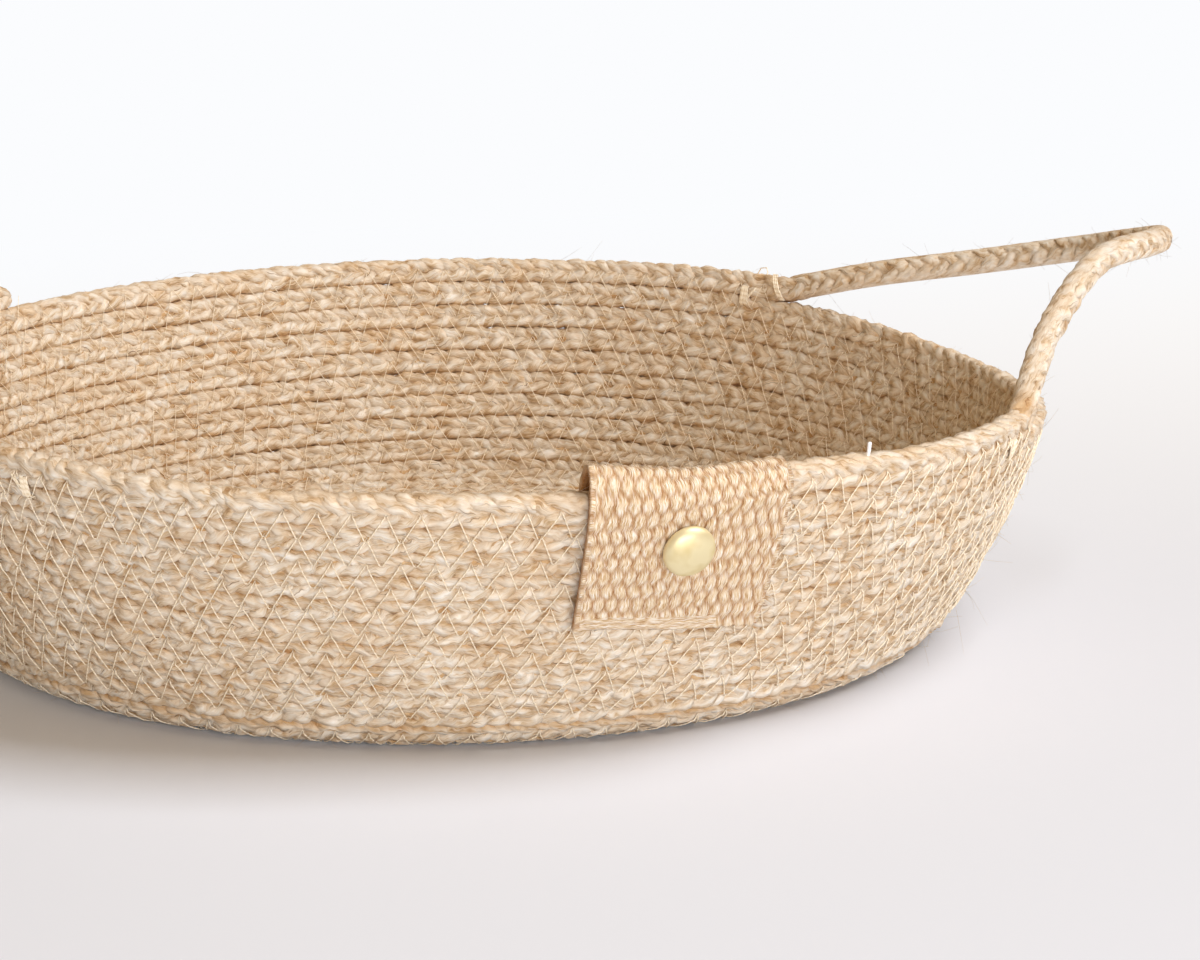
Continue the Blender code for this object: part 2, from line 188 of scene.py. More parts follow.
def new_material(
    name: str,
) -> tuple[bpy.types.Material, Callable[..., bpy.types.Node], bpy.types.Node]:
    """Make a material that has only its shader and its output.

    Args:
        name: The material's name.

    Returns:
        The material, add_node for its node tree, and its shader.
    """
    material = bpy.data.materials.new(name)
    material.use_nodes = True
    tree = material.node_tree
    return material, partial(add_node, tree), tree.nodes["Principled BSDF"]


@dataclass(frozen=True)
class BraidedJute:
    """Jute fibre, combed and braided, unbleached.

    The eye gets long straw-coloured fibres with a soft lustre and a few dark flecks of bark.
    The ramp gives the fibres' own tone, tan to cream, but it follows the height that also
    drives the bump, so its palest stops are painted highlight on the crests, beside the
    shader's sheen, and its darkest are painted shade in the grooves. The crease-shade tint
    is painted shade as well, tan where the fibre lies deep between strands and rounds. A real
    fibre is about 0.05 mm thick, too fine to show, so the pattern draws bundles of 0.24 mm.
    """

    fibre_width: float = 0.24
    fibre_length: float = 4.6
    bundle_width: float = 0.85
    bundle_share: float = 0.4
    puff: float = 2.6
    puff_share: float = 0.35
    patch_size: float = 14.3
    patch_range: tuple[float, float] = (0.42, 0.68)
    patch_share: float = 0.75
    fleck_scale: float = 0.75
    fleck_seed: float = 7.0
    fleck_range: tuple[float, float] = (0.68, 0.74)
    fleck_share: float = 0.7
    sway: float = 2.2
    twist_per_mm: float = 0.06
    strand_radius: float = 1.2
    relief: float = 0.9
    roughness: float = 0.6
    specular: float = 0.35
    sheen: float = 0.12
    sheen_roughness: float = 0.5
    # Fibre tone on the bump's height: its top is also painted highlight, its foot painted shade.
    stops: tuple[tuple[float, str], ...] = (
        (0.34, "a68054"),
        (0.42, "d9be99"),
        (0.49, "efe0ca"),
        (0.57, "f9f1e4"),
        (0.67, "fffdf8"),
    )
    # Painted shade, multiplied in where the fibre lies deep in the cord's creases.
    crease_shade_tint: str = "dfc5a2"
    patch_tint: str = "f5eadb"
    fleck: str = "8c6b46"

    def material(self, name: str) -> bpy.types.Material:
        """Build the material.

        Args:
            name: The material's name.

        Returns:
            The finished material, which reads the strand map and the depth attribute.
        """
        material, add, shader = new_material(name)
        strand = add("UVMap", {"uv_map": Coordinates.STRAND.value})
        parts = add("SeparateXYZ", links={0: strand.outputs[0]})
        here = add("TexCoord").outputs["Object"]
        puffs, patches = (
            add("TexNoise", links={"Vector": here, "Scale": 1.0 / (size * MM), "Detail": detail})
            for size, detail in ((self.puff, 1.5), (self.patch_size, 2.0))
        )
        swayed = add(
            "Math",
            {"operation": "MULTIPLY_ADD"},
            {0: puffs.outputs["Fac"], 1: self.sway, 2: parts.outputs[1]},
        )
        turned = add(
            "Math",
            {"operation": "MULTIPLY_ADD"},
            {0: parts.outputs[0], 1: self.twist_per_mm, 2: swayed.outputs[0]},
        )
        cosine = add("Math", {"operation": "COSINE"}, {0: turned.outputs[0]})
        sine = add("Math", {"operation": "SINE"}, {0: turned.outputs[0]})
        round_it = self.strand_radius / self.fibre_width
        along = add(
            "Math", {"operation": "MULTIPLY"}, {0: parts.outputs[0], 1: 1.0 / self.fibre_length}
        )
        around = [
            add("Math", {"operation": "MULTIPLY"}, {0: part.outputs[0], 1: round_it})
            for part in (cosine, sine)
        ]
        place = add(
            "CombineXYZ",
            links={0: along.outputs[0], 1: around[0].outputs[0], 2: around[1].outputs[0]},
        )
        fibres = add(
            "TexNoise",
            links={"Vector": place.outputs[0], "Scale": 1.0, "Detail": 4.0, "Roughness": 0.7},
        )
        bundles = add(
            "TexNoise",
            links={
                "Vector": place.outputs[0],
                "Scale": self.fibre_width / self.bundle_width,
                "Detail": 1.0,
            },
        )
        mixed = add(
            "Mix",
            {"data_type": "FLOAT"},
            {0: self.bundle_share, 2: fibres.outputs["Fac"], 3: bundles.outputs["Fac"]},
        )
        height = add(
            "Mix",
            {"data_type": "FLOAT"},
            {0: self.puff_share, 2: mixed.outputs[0], 3: puffs.outputs["Fac"]},
        )
        # Colour on the bump's height: fibre tone with painted highlight and painted shade.
        colour = add("ValToRGB", links={0: height.outputs[0]})
        set_ramp(colour, self.stops)
        patch_share = add(
            "MapRange",
            links={
                "Value": patches.outputs["Fac"],
                "From Min": self.patch_range[0],
                "From Max": self.patch_range[1],
                "To Max": self.patch_share,
            },
        )
        patched = add(
            "Mix",
            {"data_type": "RGBA", "blend_type": "MULTIPLY"},
            {0: patch_share.outputs[0], 6: colour.outputs[0], 7: linear(self.patch_tint)},
        )
        flecks = add(
            "TexNoise",
            {"noise_dimensions": "4D"},
            {
                "Vector": place.outputs[0],
                "W": self.fleck_seed,
                "Scale": self.fleck_scale,
                "Detail": 1.0,
            },
        )
        fleck_share = add(
            "MapRange",
            links={
                "Value": flecks.outputs["Fac"],
                "From Min": self.fleck_range[0],
                "From Max": self.fleck_range[1],
                "To Max": self.fleck_share,
            },
        )
        flecked = add(
            "Mix",
            {"data_type": "RGBA"},
            {0: fleck_share.outputs[0], 6: patched.outputs[2], 7: linear(self.fleck)},
        )
        # Painted shade in the creases, read from the crease-shade attribute.
        crease_shade = add("Attribute", {"attribute_name": Coordinates.DEPTH.value})
        shaded = add(
            "Mix",
            {"data_type": "RGBA", "blend_type": "MULTIPLY"},
            {0: crease_shade.outputs["Fac"], 6: flecked.outputs[2], 7: linear(self.crease_shade_tint)},
        )
        relief = add("Bump", links={"Distance": self.relief * MM, "Height": height.outputs[0]})
        feed(shader, {
            "Base Color": shaded.outputs[2],
            "Normal": relief.outputs[0],
            "Roughness": self.roughness,
            "Specular IOR Level": self.specular,
            "Sheen Weight": self.sheen,
            "Sheen Roughness": self.sheen_roughness,
        })
        return material


@dataclass(frozen=True)
class WovenJute:
    """Coarse jute webbing in plain weave, more golden than the cord.

    The eye gets plump warp lumps with straight fibres and orange-brown shadows between,
    partly cast by the lumps and partly painted shade from the crease-shade tint. Its fibres
    are drawn as bundles too, on a ramp that follows the bump's height: their own tone, with
    painted highlight on the crests and painted shade in the grooves.
    """

    fibre_width: float = 0.22
    fibre_length: float = 2.4
    relief: float = 0.45
    roughness: float = 0.68
    specular: float = 0.35
    sheen: float = 0.1
    # Fibre tone on the bump's height: its top is also painted highlight, its foot painted shade.
    stops: tuple[tuple[float, str], ...] = (
        (0.32, "b18653"),
        (0.43, "dbba8e"),
        (0.52, "efdaba"),
        (0.62, "fff5e8"),
    )
    # Painted shade between the lumps and on the strip's under face and edges.
    crease_shade_tint: str = "bf9158"

    def material(self, name: str) -> bpy.types.Material:
        """Build the material.

        Args:
            name: The material's name.

        Returns:
            The finished material, which reads the weave map and the depth attribute.
        """
        material, add, shader = new_material(name)
        weave = add("UVMap", {"uv_map": Coordinates.WEAVE.value})
        place = add(
            "Mapping",
            links={
                "Vector": weave.outputs[0],
                "Scale": (1.0 / self.fibre_width, 1.0 / self.fibre_length, 1.0),
            },
        )
        fibres = add(
            "TexNoise",
            links={"Vector": place.outputs[0], "Scale": 1.0, "Detail": 3.0, "Roughness": 0.6},
        )
        # Colour on the bump's height: fibre tone with painted highlight and painted shade.
        colour = add("ValToRGB", links={0: fibres.outputs["Fac"]})
        set_ramp(colour, self.stops)
        # Painted shade in the weave's creases, read from the crease-shade attribute.
        crease_shade = add("Attribute", {"attribute_name": Coordinates.DEPTH.value})
        shaded = add(
            "Mix",
            {"data_type": "RGBA", "blend_type": "MULTIPLY"},
            {0: crease_shade.outputs["Fac"], 6: colour.outputs[0], 7: linear(self.crease_shade_tint)},
        )
        relief = add(
            "Bump", links={"Distance": self.relief * MM, "Height": fibres.outputs["Fac"]}
        )
        feed(shader, {
            "Base Color": shaded.outputs[2],
            "Normal": relief.outputs[0],
            "Roughness": self.roughness,
            "Specular IOR Level": self.specular,
            "Sheen Weight": self.sheen,
        })
        return material


@dataclass(frozen=True)
class SewingThread:
    """Spun polyester sewing thread, pale straw: smooth, with a faint two-ply twist."""

    light: str = "fdf0da"
    # Painted shade in the grooves between the thread's two plies.
    dark: str = "ecd8b6"
    ply_length: float = 1.1
    ply_range: tuple[float, float] = (-1.0, 0.2)
    roughness: float = 0.5
    specular: float = 0.4

    def material(self, name: str) -> bpy.types.Material:
        """Build the material.

        Args:
            name: The material's name.

        Returns:
            The finished material, which reads the strand map.
        """
        material, add, shader = new_material(name)
        strand = add("UVMap", {"uv_map": Coordinates.STRAND.value})
        parts = add("SeparateXYZ", links={0: strand.outputs[0]})
        turned = add(
            "Math",
            {"operation": "MULTIPLY_ADD"},
            {0: parts.outputs[0], 1: FULL_TURN / self.ply_length, 2: parts.outputs[1]},
        )
        # The twist's stripes: painted shade where the two plies meet.
        ply_groove_shade = add("Math", {"operation": "SINE"}, {0: turned.outputs[0]})
        share = add(
            "MapRange",
            links={
                "Value": ply_groove_shade.outputs[0],
                "From Min": self.ply_range[0],
                "From Max": self.ply_range[1],
            },
        )
        colour = add(
            "Mix",
            {"data_type": "RGBA"},
            {0: share.outputs[0], 6: linear(self.dark), 7: linear(self.light)},
        )
        feed(shader, {
            "Base Color": colour.outputs[2],
            "Roughness": self.roughness,
            "Specular IOR Level": self.specular,
        })
        return material


@dataclass(frozen=True)
class PaleBrass:
    """Thin pressed brass, pale and matt: warm cream, with soft dulling and one faint dent."""

    colour: str = "e9dbb0"
    dull_colour: str = "d8c48c"
    roughness: float = 0.42
    dull_roughness: float = 0.55
    dent_size: float = 5.0
    dull_range: tuple[float, float] = (0.45, 0.7)
    rough_range: tuple[float, float] = (0.4, 0.7)
    scratch_size: float = 0.35
    scratch_depth: float = 0.04
    scratch_strength: float = 0.12
    metallic: float = 0.55

    def material(self, name: str) -> bpy.types.Material:
        """Build the material.

        Args:
            name: The material's name.

        Returns:
            The finished material, which reads Object coordinates.
        """
        material, add, shader = new_material(name)
        here = add("TexCoord").outputs["Object"]
        dents, scratches = (
            add("TexNoise", links={"Vector": here, "Scale": 1.0 / (size * MM), "Detail": 2.0})
            for size in (self.dent_size, self.scratch_size)
        )
        wear = add(
            "MapRange",
            links={
                "Value": dents.outputs["Fac"],
                "From Min": self.dull_range[0],
                "From Max": self.dull_range[1],
            },
        )
        colour = add(
            "Mix",
            {"data_type": "RGBA"},
            {0: wear.outputs[0], 6: linear(self.colour), 7: linear(self.dull_colour)},
        )
        rough = add(
            "MapRange",
            links={
                "Value": dents.outputs["Fac"],
                "From Min": self.rough_range[0],
                "From Max": self.rough_range[1],
                "To Min": self.roughness,
                "To Max": self.dull_roughness,
            },
        )
        relief = add(
            "Bump",
            links={
                "Strength": self.scratch_strength,
                "Distance": self.scratch_depth * MM,
                "Height": scratches.outputs["Fac"],
            },
        )
        feed(shader, {
            "Base Color": colour.outputs[2],
            "Roughness": rough.outputs[0],
            "Normal": relief.outputs[0],
            "Metallic": self.metallic,
        })
        return material


@dataclass(frozen=True)
class StudioPaper:
    """Smooth matt background paper: pale grey close by, and near white further back.

    The fade's ends are in metres. The lamps alone wouldn't make the far paper white, so the
    camera and mirroring surfaces see it as white by itself there.
    """

    near: str = "e1e5ee"
    far: str = "ffffff"
    lit: str = "fbfcfe"
    fade_from: float = -0.1
    fade_to: float = 0.5
    roughness: float = 0.9
    specular: float = 0.1

    def material(self, name: str) -> bpy.types.Material:
        """Build the material.

        Args:
            name: The material's name.

        Returns:
            The finished material, which reads Object coordinates.
        """
        material, add, shader = new_material(name)
        here = add("TexCoord")
        parts = add("SeparateXYZ", links={0: here.outputs["Object"]})
        share = add(
            "MapRange",
            {"interpolation_type": "SMOOTHSTEP"},
            {"Value": parts.outputs["Y"], "From Min": self.fade_from, "From Max": self.fade_to},
        )
        colour = add(
            "Mix",
            {"data_type": "RGBA"},
            {0: share.outputs[0], 6: linear(self.near), 7: linear(self.far)},
        )
        feed(shader, {
            "Base Color": colour.outputs[2],
            "Roughness": self.roughness,
            "Specular IOR Level": self.specular,
        })
        ray = add("LightPath")
        direct = ray.outputs["Is Camera Ray"]
        for kind in ("Is Glossy Ray", "Is Transmission Ray"):
            either = add("Math", {"operation": "MAXIMUM"}, {0: direct, 1: ray.outputs[kind]})
            direct = either.outputs[0]
        seen = add("Math", {"operation": "MULTIPLY"}, {0: direct, 1: share.outputs[0]})
        lit = add("Emission", links={"Color": linear(self.lit), "Strength": 1.0})
        both = add(
            "MixShader", links={0: seen.outputs[0], 1: shader.outputs[0], 2: lit.outputs[0]}
        )
        feed(material.node_tree.nodes["Material Output"], {"Surface": both.outputs[0]})
        return material


@dataclass(frozen=True)
class Wander:
    """How far something made by hand strays along its length: a smooth, seeded wave."""

    amount: float
    length: float
    seed: int
    waves: int = 5
    shortening: float = 1.63
    weakening: float = 1.35

    def at(self, distance: np.ndarray) -> np.ndarray:
        """How far it strays.

        Args:
            distance: Distances along the piece.

        Returns:
            The stray at each, in the amount's own unit.
        """
        draw = np.random.default_rng(self.seed)
        total = np.zeros_like(distance, dtype=float)
        for k in range(self.waves):
            wave = self.length / self.shortening**k
            phase = draw.uniform(0.0, FULL_TURN)
            total += np.sin(FULL_TURN * distance / wave + phase) / self.weakening**k
        return self.amount * total / math.sqrt(self.waves)


class SkinMesh:
    """One mesh while it is put together: points, faces and maps as arrays."""

    def __init__(self) -> None:
        """Start with nothing."""
        self.points: list[np.ndarray] = []
        self.crease_shades: list[np.ndarray] = []
        self.corners: list[np.ndarray] = []
        self.sizes: list[np.ndarray] = []
        self.places: list[np.ndarray] = []
        self.count = 0

    def add_points(self, points: np.ndarray, depth: np.ndarray) -> int:
        """Add points.

        Args:
            points: N x 3 points in millimetres.
            depth: N shares of painted shade, 0 on top of the relief, 1 in its creases.

        Returns:
            The number of the first of them.
        """
        first = self.count
        self.points.append(points)
        self.crease_shades.append(depth)
        self.count += len(points)
        return first

    def add_faces(self, faces: np.ndarray, places: np.ndarray) -> None:
        """Add faces between points of the mesh.

        Args:
            faces: M x K numbers of points, K corners to each face.
            places: M x K x 2 map places of those corners.
        """
        self.corners.append(faces.ravel())
        self.sizes.append(np.full(len(faces), faces.shape[1]))
        self.places.append(places.reshape(-1, 2))

    def add_tubes(
        self,
        paths: np.ndarray,
        hints: np.ndarray,
        across: np.ndarray,
        height: np.ndarray,
        sides: int,
        depth: np.ndarray | None = None,
        first_place: np.ndarray | None = None,
        swell: np.ndarray | float = 1.0,
    ) -> np.ndarray:
        """Sweep oval tubes along paths, each closed at both ends.

        Args:
            paths: T x R x 3 points, R along each of T tubes.
            hints: T x R x 3 directions that the section's height leans towards.
            across: T x R half widths.
            height: T x R half heights.
            sides: The number of sides of the section.
            depth: T x R x sides shares of painted crease shade, or None for none.
            first_place: T distances at which the tubes' maps start.
            swell: How much thicker each of T x R x sides points is, as a factor.

        Returns:
            The T x R x sides x 3 points, which may still be moved in place.
        """
        tubes, rings, _ = paths.shape
        ahead = np.gradient(paths, axis=1)
        ahead /= np.linalg.norm(ahead, axis=2, keepdims=True)
        up = hints - (hints * ahead).sum(2, keepdims=True) * ahead
        up /= np.maximum(np.linalg.norm(up, axis=2, keepdims=True), 1e-9)
        side = np.cross(ahead, up)
        swing = FULL_TURN * np.arange(sides) / sides
        ring = paths[:, :, None, :] + (
            up[:, :, None, :] * (swell * height[:, :, None] * np.cos(swing))[..., None]
            + side[:, :, None, :] * (swell * across[:, :, None] * np.sin(swing))[..., None]
        )
        # In one block, so that moving its points also moves those that the mesh has.
        ring = np.ascontiguousarray(ring)
        steps = np.linalg.norm(np.diff(paths, axis=1), axis=2)
        run = np.concatenate([np.zeros((tubes, 1)), np.cumsum(steps, axis=1)], axis=1)
        if first_place is not None:
            run = run + first_place[:, None]
        flat = np.zeros(tubes * rings * sides) if depth is None else depth.ravel()
        first = self.add_points(ring.reshape(-1, 3), flat)
        number = first + np.arange(tubes * rings * sides).reshape(tubes, rings, sides)
        beside = np.roll(number, -1, axis=2)
        quads = np.stack(
            [number[:, :-1], beside[:, :-1], beside[:, 1:], number[:, 1:]], axis=-1
        ).reshape(-1, 4)
        here = np.broadcast_to(swing, (tubes, rings - 1, sides))
        there = here + FULL_TURN / sides
        near = np.broadcast_to(run[:, :-1, None], here.shape)
        far = np.broadcast_to(run[:, 1:, None], here.shape)
        quad_places = np.stack(
            [
                np.stack([near, here], -1),
                np.stack([near, there], -1),
                np.stack([far, there], -1),
                np.stack([far, here], -1),
            ],
            axis=-2,
        ).reshape(-1, 4, 2)
        self.add_faces(quads, quad_places)
        caps = np.concatenate([number[:, 0, ::-1], number[:, -1, :]])
        cap_run = np.concatenate([run[:, 0], run[:, -1]])[:, None]
        cap_swing = np.concatenate([np.tile(swing[::-1], (tubes, 1)), np.tile(swing, (tubes, 1))])
        cap_places = np.stack([np.broadcast_to(cap_run, cap_swing.shape), cap_swing], -1)
        self.add_faces(caps, cap_places)
        return ring

    def build(self, name: str, coordinates: Coordinates) -> bpy.types.Object:
        """Make the object, in place, in metres.

        Args:
            name: The object's name.
            coordinates: Which map its places are written to.

        Returns:
            The new object, linked to the scene.
        """
        mesh = bpy.data.meshes.new(name)
        points = np.concatenate(self.points) * MM
        corners = np.concatenate(self.corners).astype(np.int32)
        sizes = np.concatenate(self.sizes).astype(np.int32)
        mesh.vertices.add(len(points))
        mesh.vertices.foreach_set("co", points.astype(np.float32).ravel())
        mesh.loops.add(len(corners))
        mesh.loops.foreach_set("vertex_index", corners)
        mesh.polygons.add(len(sizes))
        starts = np.concatenate([[0], np.cumsum(sizes)[:-1]]).astype(np.int32)
        mesh.polygons.foreach_set("loop_start", starts)
        layer = mesh.uv_layers.new(name=coordinates.value)
        layer.uv.foreach_set("vector", np.concatenate(self.places).astype(np.float32).ravel())
        # The painted crease shade, which the materials multiply in as a tint.
        depth = mesh.attributes.new(Coordinates.DEPTH.value, "FLOAT", "POINT")
        depth.data.foreach_set("value", np.concatenate(self.crease_shades).astype(np.float32))
        mesh.update(calc_edges=True)
        mesh.shade_smooth()
        thing = bpy.data.objects.new(name, mesh)
        bpy.context.scene.collection.objects.link(thing)
        return thing


def finish_piece(
    thing: bpy.types.Object,
    material: bpy.types.Material,
    body: Body | None,
    stands_for: tuple[str, ...] = (),
) -> None:
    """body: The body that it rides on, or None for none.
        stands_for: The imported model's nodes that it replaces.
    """
    thing.data.materials.clear()
    thing.data.materials.append(material)
    if stands_for:
        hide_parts(*stands_for)
    if body is not None:
        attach(thing, body.value)
    LOG.info("%s: %d faces", thing.name, len(thing.data.polygons))


@dataclass
class Lie:
    """Where a cord lies: its middle, and two directions square to it, point by point."""

    middle: np.ndarray
    climb: np.ndarray
    out: np.ndarray


@dataclass(frozen=True)
class Spiral:
    """The line that the cord follows from the middle of the base up to the rim.

    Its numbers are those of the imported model. Each sway is an amount in pitches, with the
    angle of its middle and half its span: there the rim rises or dips.
    """

    pitch: float = 5.4
    cord_radius: float = 2.7
    flat_depth: float = 0.54
    first_turn: float = 0.6
    base_radius: float = 95.9
    corner_radius: float = 12.0
    foot_lean: float = 31.3
    wall_curve_radius: float = 165.0
    wall_run: float = 48.5
    rim_start: float = 139.0
    rim_early: float = 0.4
    wall_turns: float = 10.0
    handle_half_span: float = 36.9
    left_handle_at: float = 176.0
    tucked_end_span: float = 9.0
    axis_x: float = 0.24
    axis_y: float = 1.64
    rim_tilt: float = 0.30
    sways: tuple[tuple[float, float, float], ...] = (
        (0.45, 205.0, 35.0),
        (0.27, 288.0, 13.0),
        (-0.25, 320.0, 27.0),
        (-0.85, 2.0, 48.0),
    )
    weave_out: Wander = Wander(0.16, 61.0, 11)
    weave_up: Wander = Wander(0.10, 83.0, 12)
    grid_steps: int = 4000
    grid_beyond: float = 1.5

    @property
    def base_height(self) -> float:
        """The height of the cord's middle in the base."""
        return self.cord_radius - self.flat_depth

    @property
    def corner_angle(self) -> float:
        """The slope of the wall at its foot, in radians."""
        return math.pi / 2 - math.radians(self.foot_lean)

    @property
    def corner_end(self) -> float:
        """The run at which the corner ends and the wall starts."""
        return self.base_radius + self.corner_radius * self.corner_angle

    @property
    def rim_first_turn(self) -> float:
        """The turn at which the rim's own round starts."""
        return (self.corner_end + self.wall_run) / self.pitch - self.rim_early

    @property
    def wall_first_turn(self) -> float:
        """The turn at which the base becomes the wall."""
        return self.rim_first_turn - self.wall_turns

    @property
    def right_leave(self) -> float:
        """The turn at which the cord leaves the rim for the right handle."""
        return self.rim_turn(self.handle_half_span)

    @property
    def right_land(self) -> float:
        """The turn at which it is on the rim again after the right handle."""
        return self.rim_turn(-self.handle_half_span)

    @property
    def left_leave(self) -> float:
        """The turn at which it leaves the rim for the left handle."""
        return self.rim_turn(self.left_handle_at + self.handle_half_span)

    @property
    def left_land(self) -> float:
        """The turn at which it is on the rim again after the left handle."""
        return self.rim_first_turn + 1.0

    @property
    def last_turn(self) -> float:
        """The turn at which the tucked end stops."""
        return self.left_land + self.tucked_end_span / 360.0

    def angle(self, turn: np.ndarray | float) -> np.ndarray | float:
        """The angle at a turn; the cord winds clockwise on its way up."""
        return self.rim_start - 360.0 * (turn - self.rim_first_turn)

    def rim_turn(self, angle: float) -> float:
        """The turn at which the rim's own round passes an angle."""
        return self.rim_first_turn + ((self.rim_start - angle) % 360.0) / 360.0

    def uncovered(self, turn: np.ndarray) -> np.ndarray:
        """Whether no round lies above the cord: below the handles, and along the rim.

        Args:
            turn: The turns.

        Returns:
            True for each turn where none does.
        """
        below_right = (turn > self.right_leave - 1.0) & (turn < self.right_land - 1.0)
        below_left = (turn > self.left_leave - 1.0) & (turn < self.rim_first_turn)
        return below_right | below_left | (turn > self.last_turn - 1.0)

    def unevenness(self, angle: np.ndarray, run: np.ndarray) -> np.ndarray:
        """How far the soft wall rises or dips.

        Args:
            angle: The places' angles.
            run: Their runs.

        Returns:
            The rise at each.
        """
        share = np.maximum((run - self.corner_end) / self.wall_run, 0.0)
        sway = self.rim_tilt * np.sin(np.radians(angle))
        for amount, centre, half in self.sways:
            off = (angle - centre + 180.0) % 360.0 - 180.0
            near = np.abs(off) < half
            sway = sway + np.where(near, amount * np.cos(math.pi / 2 * off / half) ** 2, 0.0)
        return self.pitch * share * sway

    def turned_up(self, run: np.ndarray) -> np.ndarray:
        """How far the outline has turned up in the corner at a run, in radians."""
        return np.clip((run - self.base_radius) / self.corner_radius, 0.0, self.corner_angle)

    def slope(self, run: np.ndarray) -> np.ndarray:
        """The slope of the bowl's outline at a run, in radians."""
        beyond = np.maximum(run - self.corner_end, 0.0)
        return self.turned_up(run) + beyond / self.wall_curve_radius

    def radius(self, run: np.ndarray) -> np.ndarray:
        """How far the cord's middle is from the basket's axis.

        Args:
            run: The runs.

        Returns:
            The distance at each.
        """
        corner = self.turned_up(run)
        curved = self.base_radius + self.corner_radius * np.sin(corner)
        leaned = curved + self.wall_curve_radius * (np.sin(self.slope(run)) - np.sin(corner))
        return np.where(run < self.base_radius, run, leaned)

    def height(self, run: np.ndarray) -> np.ndarray:
        """The height of the cord's middle, without unevenness.

        Args:
            run: The runs.

        Returns:
            The height at each.
        """
        corner = self.turned_up(run)
        risen = self.corner_radius * (1.0 - np.cos(corner))
        climbed = self.wall_curve_radius * (np.cos(corner) - np.cos(self.slope(run)))
        return self.base_height + risen + climbed

    def lie(self, turn: np.ndarray, sideways: np.ndarray | float = 0.0) -> Lie:
        """Where the cord lies at some turns, or a line beside it.

        Args:
            turn: The turns.
            sideways: How far up the outline from the cord's middle the line is.

        Returns:
            The places, with the directions up the outline and out of the basket.
        """
        run = self.pitch * turn + sideways
        angle = self.angle(turn)
        swing = np.radians(angle)
        radius = self.radius(run)
        slope = self.slope(run)
        level = np.stack([np.cos(swing), np.sin(swing), np.zeros_like(swing)], -1)
        upright = np.array([0.0, 0.0, 1.0])
        climb = level * np.cos(slope)[:, None] + upright * np.sin(slope)[:, None]
        out = level * np.sin(slope)[:, None] - upright * np.cos(slope)[:, None]
        middle = level * radius[:, None]
        middle[:, 0] += self.axis_x
        middle[:, 1] += self.axis_y
        middle[:, 2] = self.height(run) + self.unevenness(angle, run)
        distance = self.distance(turn)
        ease = np.clip((run - self.base_radius) / self.corner_radius, 0.0, 1.0)
        middle += out * (self.weave_out.at(distance) * ease)[:, None]
        middle += climb * (self.weave_up.at(distance) * ease)[:, None]
        return Lie(middle, climb, out)

    def grid(self) -> np.ndarray:
        """Turns close together, from the middle of the base to past the rim."""
        return np.linspace(0.0, self.rim_first_turn + self.grid_beyond, self.grid_steps)

    def distance(self, turn: np.ndarray) -> np.ndarray:
        """The length of cord from the middle of the base.

        Args:
            turn: The turns that it is measured to.

        Returns:
            The length to each.
        """
        grid = self.grid()
        pace = FULL_TURN * self.radius(self.pitch * grid)
        gone = np.concatenate([[0.0], np.cumsum((pace[1:] + pace[:-1]) / 2 * np.diff(grid))])
        return np.interp(turn, grid, gone)

    def turn_at(self, distance: np.ndarray) -> np.ndarray:
        """The turns at some lengths of cord from the middle of the base."""
        grid = self.grid()
        return np.interp(distance, self.distance(grid), grid)

    def turns_for(self, length: float, turn: float) -> float:
        """How many turns a length takes up at a turn."""
        return length / (FULL_TURN * float(self.radius(np.array(self.pitch * turn))))


@dataclass(frozen=True)
class LooseFibres:
    """Short jute fibres that stand off a cord, and a few long ones."""

    per_mm: float = 0.8
    root: float = 2.35
    shortest: float = 1.2
    longest: float = 4.5
    long_share: float = 0.04
    long_reach: float = 12.0
    long_range: tuple[float, float] = (0.5, 1.0)
    lean: tuple[float, float] = (0.25, 0.75)
    aside: float = 0.35
    sink: float = -0.15
    curl_away: float = 0.3
    curl_aside: float = 0.35
    curl_ahead: float = 0.2
    thickness: float = 0.04
    taper: float = 0.55
    map_span: float = 90.0
    rings: int = 4
    sides: int = 3

    def grow(self, skin: SkinMesh, lie: Lie, length: float, seed: int) -> None:
        """Let fibres stand off a cord.

        Args:
            skin: The mesh that takes them.
            lie: Where the cord lies.
            length: The cord's length in millimetres.
            seed: What their places are drawn from.
        """
        draw = np.random.default_rng(seed)
        count = int(self.per_mm * length)
        at = draw.integers(1, len(lie.middle) - 1, count)
        ahead = lie.middle[at + 1] - lie.middle[at]
        ahead /= np.linalg.norm(ahead, axis=1, keepdims=True)
        swing = draw.uniform(0.0, FULL_TURN, (count, 1))
        away = lie.out[at] * np.cos(swing) + lie.climb[at] * np.sin(swing)
        start = lie.middle[at] + away * self.root
        reach = draw.uniform(self.shortest, self.longest, (count, 1))
        longer = draw.uniform(0.0, 1.0, (count, 1)) < self.long_share
        long = self.long_reach * draw.uniform(*self.long_range, (count, 1))
        reach = np.where(longer, long, reach)
        lean = draw.uniform(*self.lean, (count, 1))
        heading = np.where(draw.uniform(0.0, 1.0, (count, 1)) < 0.5, -1.0, 1.0)
        side = np.cross(ahead, away)
        first = ahead * heading + away * lean + side * draw.normal(0.0, self.aside, (count, 1))
        first /= np.linalg.norm(first, axis=1, keepdims=True)
        curl = away * draw.normal(self.sink, self.curl_away, (count, 1))
        across = side * draw.normal(0.0, self.curl_aside, (count, 1))
        curl += across + ahead * draw.normal(0.0, self.curl_ahead, (count, 1))
        share = np.linspace(0.0, 1.0, self.rings)
        along = share[None, :, None]
        bent = first[:, None] * along + curl[:, None] * along**2
        paths = start[:, None] + reach[:, None] * bent
        hints = np.broadcast_to(side[:, None] + HINT_OFFSET, paths.shape)
        thin = np.broadcast_to(self.thickness * (1.0 - self.taper * share), paths.shape[:2])
        places = draw.uniform(0, self.map_span, count)
        skin.add_tubes(paths, hints, thin, thin, self.sides, first_place=places)


